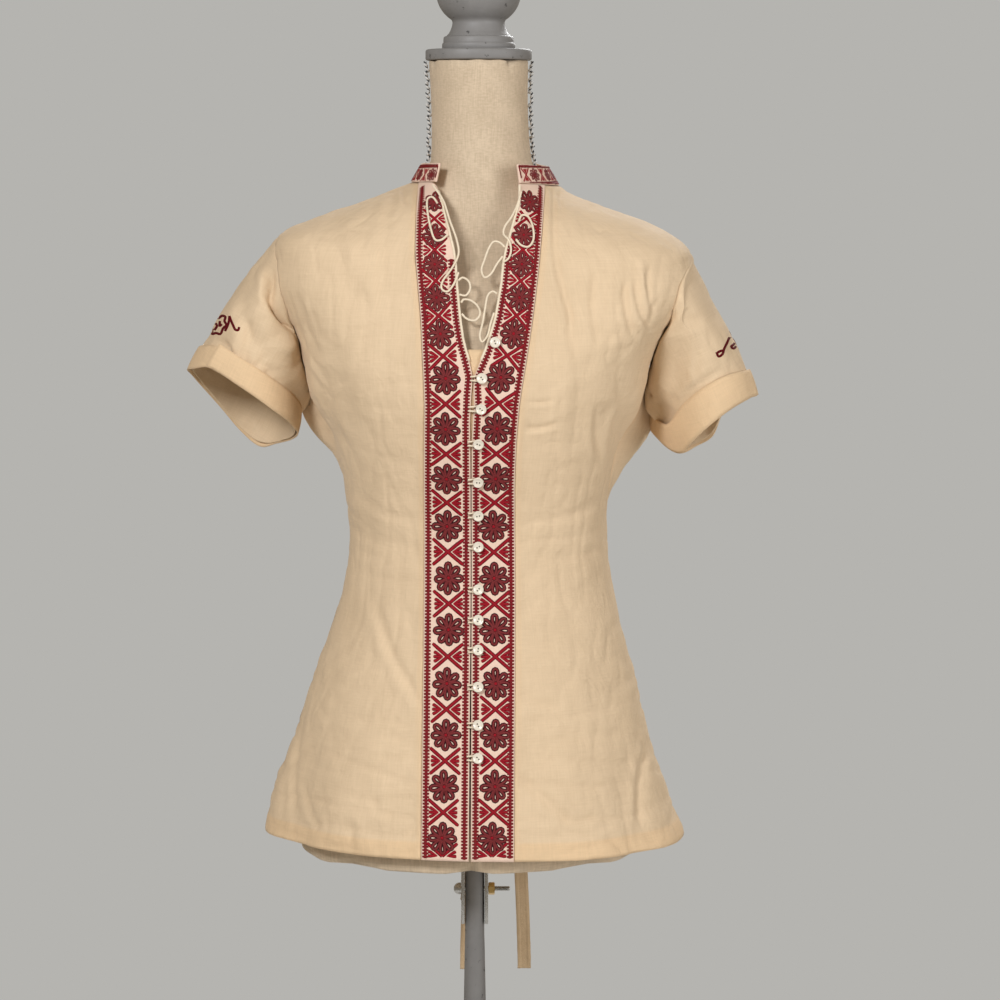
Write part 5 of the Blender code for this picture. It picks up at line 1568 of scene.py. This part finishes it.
# The knot: the belt's two ends crossed, wrapped once round each other and drawn tight.
low, high = (Vector(corner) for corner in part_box("tie_knot"))
middle, half = (low + high) / 2, (high - low) / 2
bpy.ops.object.select_all(action="DESELECT")
bpy.ops.mesh.primitive_uv_sphere_add(segments=40, ring_count=24, radius=1, location=(0, 0, 0))
knot = bpy.context.object
knot.name = "wrapped_knot"
for vert in knot.data.vertices:
    p = vert.co
    wrap = math.exp(-(p.x / 0.42) ** 4)
    ply = 0.05 * math.sin(9.0 * p.z + 2.5 * p.x) * wrap + 0.05 * math.sin(11.0 * p.x + 4.0 * p.z) * (1 - wrap)
    size = 0.80 + 0.20 * wrap + ply
    vert.co = (middle.x + p.x * half.x * 1.04, middle.y + p.y * half.y * size, middle.z + p.z * half.z * size)
knot.data.shade_smooth()
places = vertex_places(knot)
paint_layers(knot, np.ones(len(places)))
cloth_map(knot, places[:, 0], places[:, 2])
# The knot takes the same painted shade.
finish_piece(knot, tie_cotton_painted_shade, "cotton", "tie_knot")


# The stand: turned and painted wood, two plated steel straps and a bolt with a brass nut.
def painted_wood(name, color):
    """Satin grey paint on turned wood, with faint brush lines and worn spots."""
    made, tree, shader = new_material(name, 0.5, shine=0.35)
    solid = add_node(tree, "ShaderNodeTexCoord").outputs["Object"]
    uneven = group_node(tree, blotch, Vector=solid, Patch_size=0.015)
    fine = group_node(tree, blotch, Vector=solid, Patch_size=0.002)
    dark, worn = tuple(c * 0.72 for c in color), tuple(c * 0.30 for c in color)
    spots = add_node(tree, "ShaderNodeMapRange", {"Value": add_node(tree, "ShaderNodeTexNoise", {
        "Vector": solid, "Scale": 170.0, "Detail": 3.0}).outputs["Fac"], "From Min": 0.66, "From Max": 0.72})
    paint = blended(tree, uneven.outputs["Tone"], (*color, 1), (*dark, 1))
    tree.links.new(blended(tree, spots.outputs[0], paint, (*worn, 1)), shader.inputs["Base Color"])
    rough = add_node(tree, "ShaderNodeMapRange", {"Value": uneven.outputs["Tone"], "To Min": 0.42, "To Max": 0.62})
    tree.links.new(rough.outputs[0], shader.inputs["Roughness"])
    bump = add_node(tree, "ShaderNodeBump", {"Height": fine.outputs["Tone"], "Strength": 0.2, "Distance": 0.0004})
    tree.links.new(bump.outputs[0], shader.inputs["Normal"])
    return made


def bare_metal(name, color, roughness):
    """Plated metal with fine scratches."""
    made, tree, shader = new_material(name, roughness, metallic=1.0)
    solid = add_node(tree, "ShaderNodeTexCoord").outputs["Object"]
    fine = group_node(tree, blotch, Vector=solid, Patch_size=0.003)
    dark = tuple(c * 0.7 for c in color)
    tree.links.new(blended(tree, fine.outputs["Tone"], (*color, 1), (*dark, 1)), shader.inputs["Base Color"])
    rough = add_node(tree, "ShaderNodeMapRange", {"Value": fine.outputs["Tone"], "To Min": roughness * 0.7,
                                                  "To Max": roughness * 1.4})
    tree.links.new(rough.outputs[0], shader.inputs["Roughness"])
    return made


# One grey paint made in two strengths: lighter on the cap at the top, as painted light, and darker on the pole and base
# below the form, as painted shade.
grey_wood = painted_wood("grey_painted_wood", (0.252, 0.241, 0.230))
pole_paint_shaded = painted_wood("grey_paint_shaded_pole", (0.206, 0.197, 0.187))
steel = bare_metal("plated_steel", (0.60, 0.59, 0.57), 0.26)
brass = bare_metal("brass", (0.76, 0.52, 0.20), 0.28)
low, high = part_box("turned_cap")
CAP_PROFILE = [(0.0400 * math.cos(math.radians(a)),
                0.0625 + (0.0410 if a > 0 else 0.0320) * math.sin(math.radians(a))) for a in range(90, -52, -5)]
CAP_PROFILE[0] = (0, 0.1035)
CAP_PROFILE += [(0.0249, 0.0362), (0.0248, 0.0350), (0.0251, 0.0330), (0.0258, 0.0306), (0.0269, 0.0278),
                (0.0284, 0.0252), (0.0301, 0.0236), (0.0303, 0.0230), (0.0326, 0.0222), (0.0333, 0.0213),
                (0.0335, 0.0180), (0.0335, 0.0166), (0.0343, 0.0160), (0.0347, 0.0150), (0.0348, 0.0122),
                (0.0344, 0.0112), (0.0352, 0.0105), (0.0488, 0.0102), (0.0501, 0.0094), (0.0505, 0.0084),
                (0.0505, 0.0014), (0.0499, 0.0004), (0.0490, 0.0), (0, 0)]
cap = turned("turned_wooden_cap", CAP_PROFILE, ((low[0] + high[0]) / 2, (low[1] + high[1]) / 2, low[2]), 72)
finish_piece(cap, grey_wood, "grey_wood", "turned_cap")
POLE_RADIUS, FOOT_RADIUS, BASE_TOP = 0.0094, 0.0118, 0.034
low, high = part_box("pole")
pole = turned("wooden_pole", ((0, high[2]), (POLE_RADIUS - 0.0006, high[2]), (POLE_RADIUS, high[2] - 0.0006),
                              (POLE_RADIUS, 0.604), (POLE_RADIUS + 0.0004, 0.590), (POLE_RADIUS + 0.0020, 0.505),
                              (FOOT_RADIUS, 0.475), (FOOT_RADIUS, 0.062), (FOOT_RADIUS + 0.0006, 0.056),
                              (FOOT_RADIUS + 0.0032, 0.0500), (FOOT_RADIUS + 0.0040, 0.0460),
                              (FOOT_RADIUS + 0.0040, low[2] + 0.0005), (FOOT_RADIUS + 0.0036, low[2]), (0, low[2])),
              (0, 0, 0), 48)
finish_piece(pole, pole_paint_shaded, "grey_wood", "pole")
low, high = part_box("round_base")
reach = high[0]
base = turned("turned_base", ((0, BASE_TOP), (0.0240, BASE_TOP), (0.0262, BASE_TOP - 0.0005), (0.0282, BASE_TOP - 0.0020),
                              (0.0300, BASE_TOP - 0.0045), (0.0325, 0.0265), (0.0370, 0.0240), (0.0450, 0.0223),
                              (0.0600, 0.0205), (reach - 0.0120, 0.0165), (reach - 0.0050, 0.0152),
                              (reach - 0.0012, 0.0133), (reach, 0.0112), (reach, 0.0020), (reach - 0.0008, 0.0006),
                              (reach - 0.0030, 0), (0, 0)), (0, 0, 0), 128)
finish_piece(base, pole_paint_shaded, "grey_wood", "round_base")

# The clamp: two steel plates on the pole's sides, a button-head screw through them, and a
# brass nut on its threaded end.
for side in ("left", "right"):
    low, high = (Vector(corner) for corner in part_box("strap_" + side))
    bpy.ops.object.select_all(action="DESELECT")
    bpy.ops.mesh.primitive_cube_add(size=1, location=(0, 0, 0))
    plate = bpy.context.object
    plate.name = side + "_clamp_plate"
    plate.data.transform(Matrix.Translation((low + high) / 2) @ Matrix.Diagonal((*(high - low), 1)))
    softer = plate.modifiers.new("softer", "BEVEL")
    softer.width = 0.0006
    softer.segments = 3
    apply_all(plate)
    bpy.ops.object.shade_smooth_by_angle(angle=math.radians(40))
    finish_piece(plate, steel, "steel", "strap_" + side)
low, high = (Vector(corner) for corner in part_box("clamp_bolt"))
middle = (low + high) / 2
screw_radius = 0.0024
head = low.x + 0.0072
lengthwise = Matrix.Translation((0, middle.y, middle.z)) @ Matrix.Rotation(math.pi / 2, 4, "Y")
outline = [(0, low.x + 0.0016), (0.0014, low.x + 0.0014), (0.0015, low.x + 0.0002)]
outline += [(0.0058 * math.sin(math.radians(a)), head - 0.0014 - 0.0058 * math.cos(math.radians(a)))
            for a in range(20, 91, 10)]
outline += [(0.0058, head), (screw_radius, head)]
ridge, at = 0.0008, -head
while at < high.x - 0.0016:
    outline += [(screw_radius, at), (screw_radius - 0.00045, at + ridge / 2)]
    at += ridge
outline += [(screw_radius - 0.0002, high.x - 0.0010), (screw_radius - 0.0008, high.x), (0, high.x)]
screw = turned("button_head_screw", outline, (0, 0, 0), 28)
screw.data.transform(lengthwise)
finish_piece(screw, steel, "steel", "clamp_bolt")
low, high = (Vector(corner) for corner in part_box("brass_nut"))
nut_length = high.x - low.x
nut = turned("hexagon_nut", ((0.0027, 0), (0.0056, 0), (0.0062, 0.0007), (0.0062, nut_length - 0.0007),
                             (0.0056, nut_length), (0.0027, nut_length), (0.0027, 0)), (0, 0, 0), 6)
nut.data.transform(Matrix.Translation((low.x, middle.y, middle.z)) @ Matrix.Rotation(math.pi / 2, 4, "Y"))
nut.data.shade_flat()
finish_piece(nut, brass, "brass", "brass_nut")

# The neck's trims: two strands, one white and one near black, twisted together and glued
# down the form's side seams, from the cap to the shoulders.
trim_yarns = {}
for label, color in (("white", (0.82, 0.81, 0.78)), ("black", (0.060, 0.064, 0.070))):
    made, tree, shader = new_material("trim_" + label, 0.75, sheen=0.1, shine=0.25)
    place = add_node(tree, "ShaderNodeUVMap", uv_map="cloth").outputs[0]
    yarn = group_node(tree, weave, Vector=place, Threads_per_metre=1400.0, Slub_length=0.004)
    dark = tuple(c * 0.6 for c in color)
    tree.links.new(blended(tree, yarn.outputs["Streaks"], (*dark, 1), (*color, 1)), shader.inputs["Base Color"])
    bump = add_node(tree, "ShaderNodeBump", {"Height": yarn.outputs["Height"], "Strength": 0.5, "Distance": 0.0002})
    tree.links.new(bump.outputs[0], shader.inputs["Normal"])
    trim_yarns[label] = made
for side in ("left", "right"):
    co = np.array([v.co[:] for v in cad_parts["neck_trim_" + side].data.vertices])
    steps = np.linspace(co[:, 2].min() + 0.0005, co[:, 2].max() - 0.0005, 260)
    layers = [co[np.argsort(np.abs(co[:, 2] - z))[:14]] for z in np.linspace(co[:, 2].min(), co[:, 2].max(), 30)]
    known = np.array([layer.mean(0) for layer in layers])
    known = known[np.argsort(known[:, 2])]
    away = 1 if side == "left" else -1
    strands = []
    for label, phase, size in (("white", 0.0, 0.00125), ("black", math.pi, 0.00062)):
        route = []
        for z in steps:
            turn = phase + z / 0.0042 * 2 * math.pi
            centre = Vector((np.interp(z, known[:, 2], known[:, 0]), np.interp(z, known[:, 2], known[:, 1]), z))
            route.append(centre + Vector((away * 0.0007 * math.cos(turn), 0.0010 * math.sin(turn), 0)))
        strand = tube("neck_trim_%s_%s" % (side, label), route, size, 6)
        finish_piece(strand, trim_yarns[label], "trim_cord", "neck_trim_" + side)
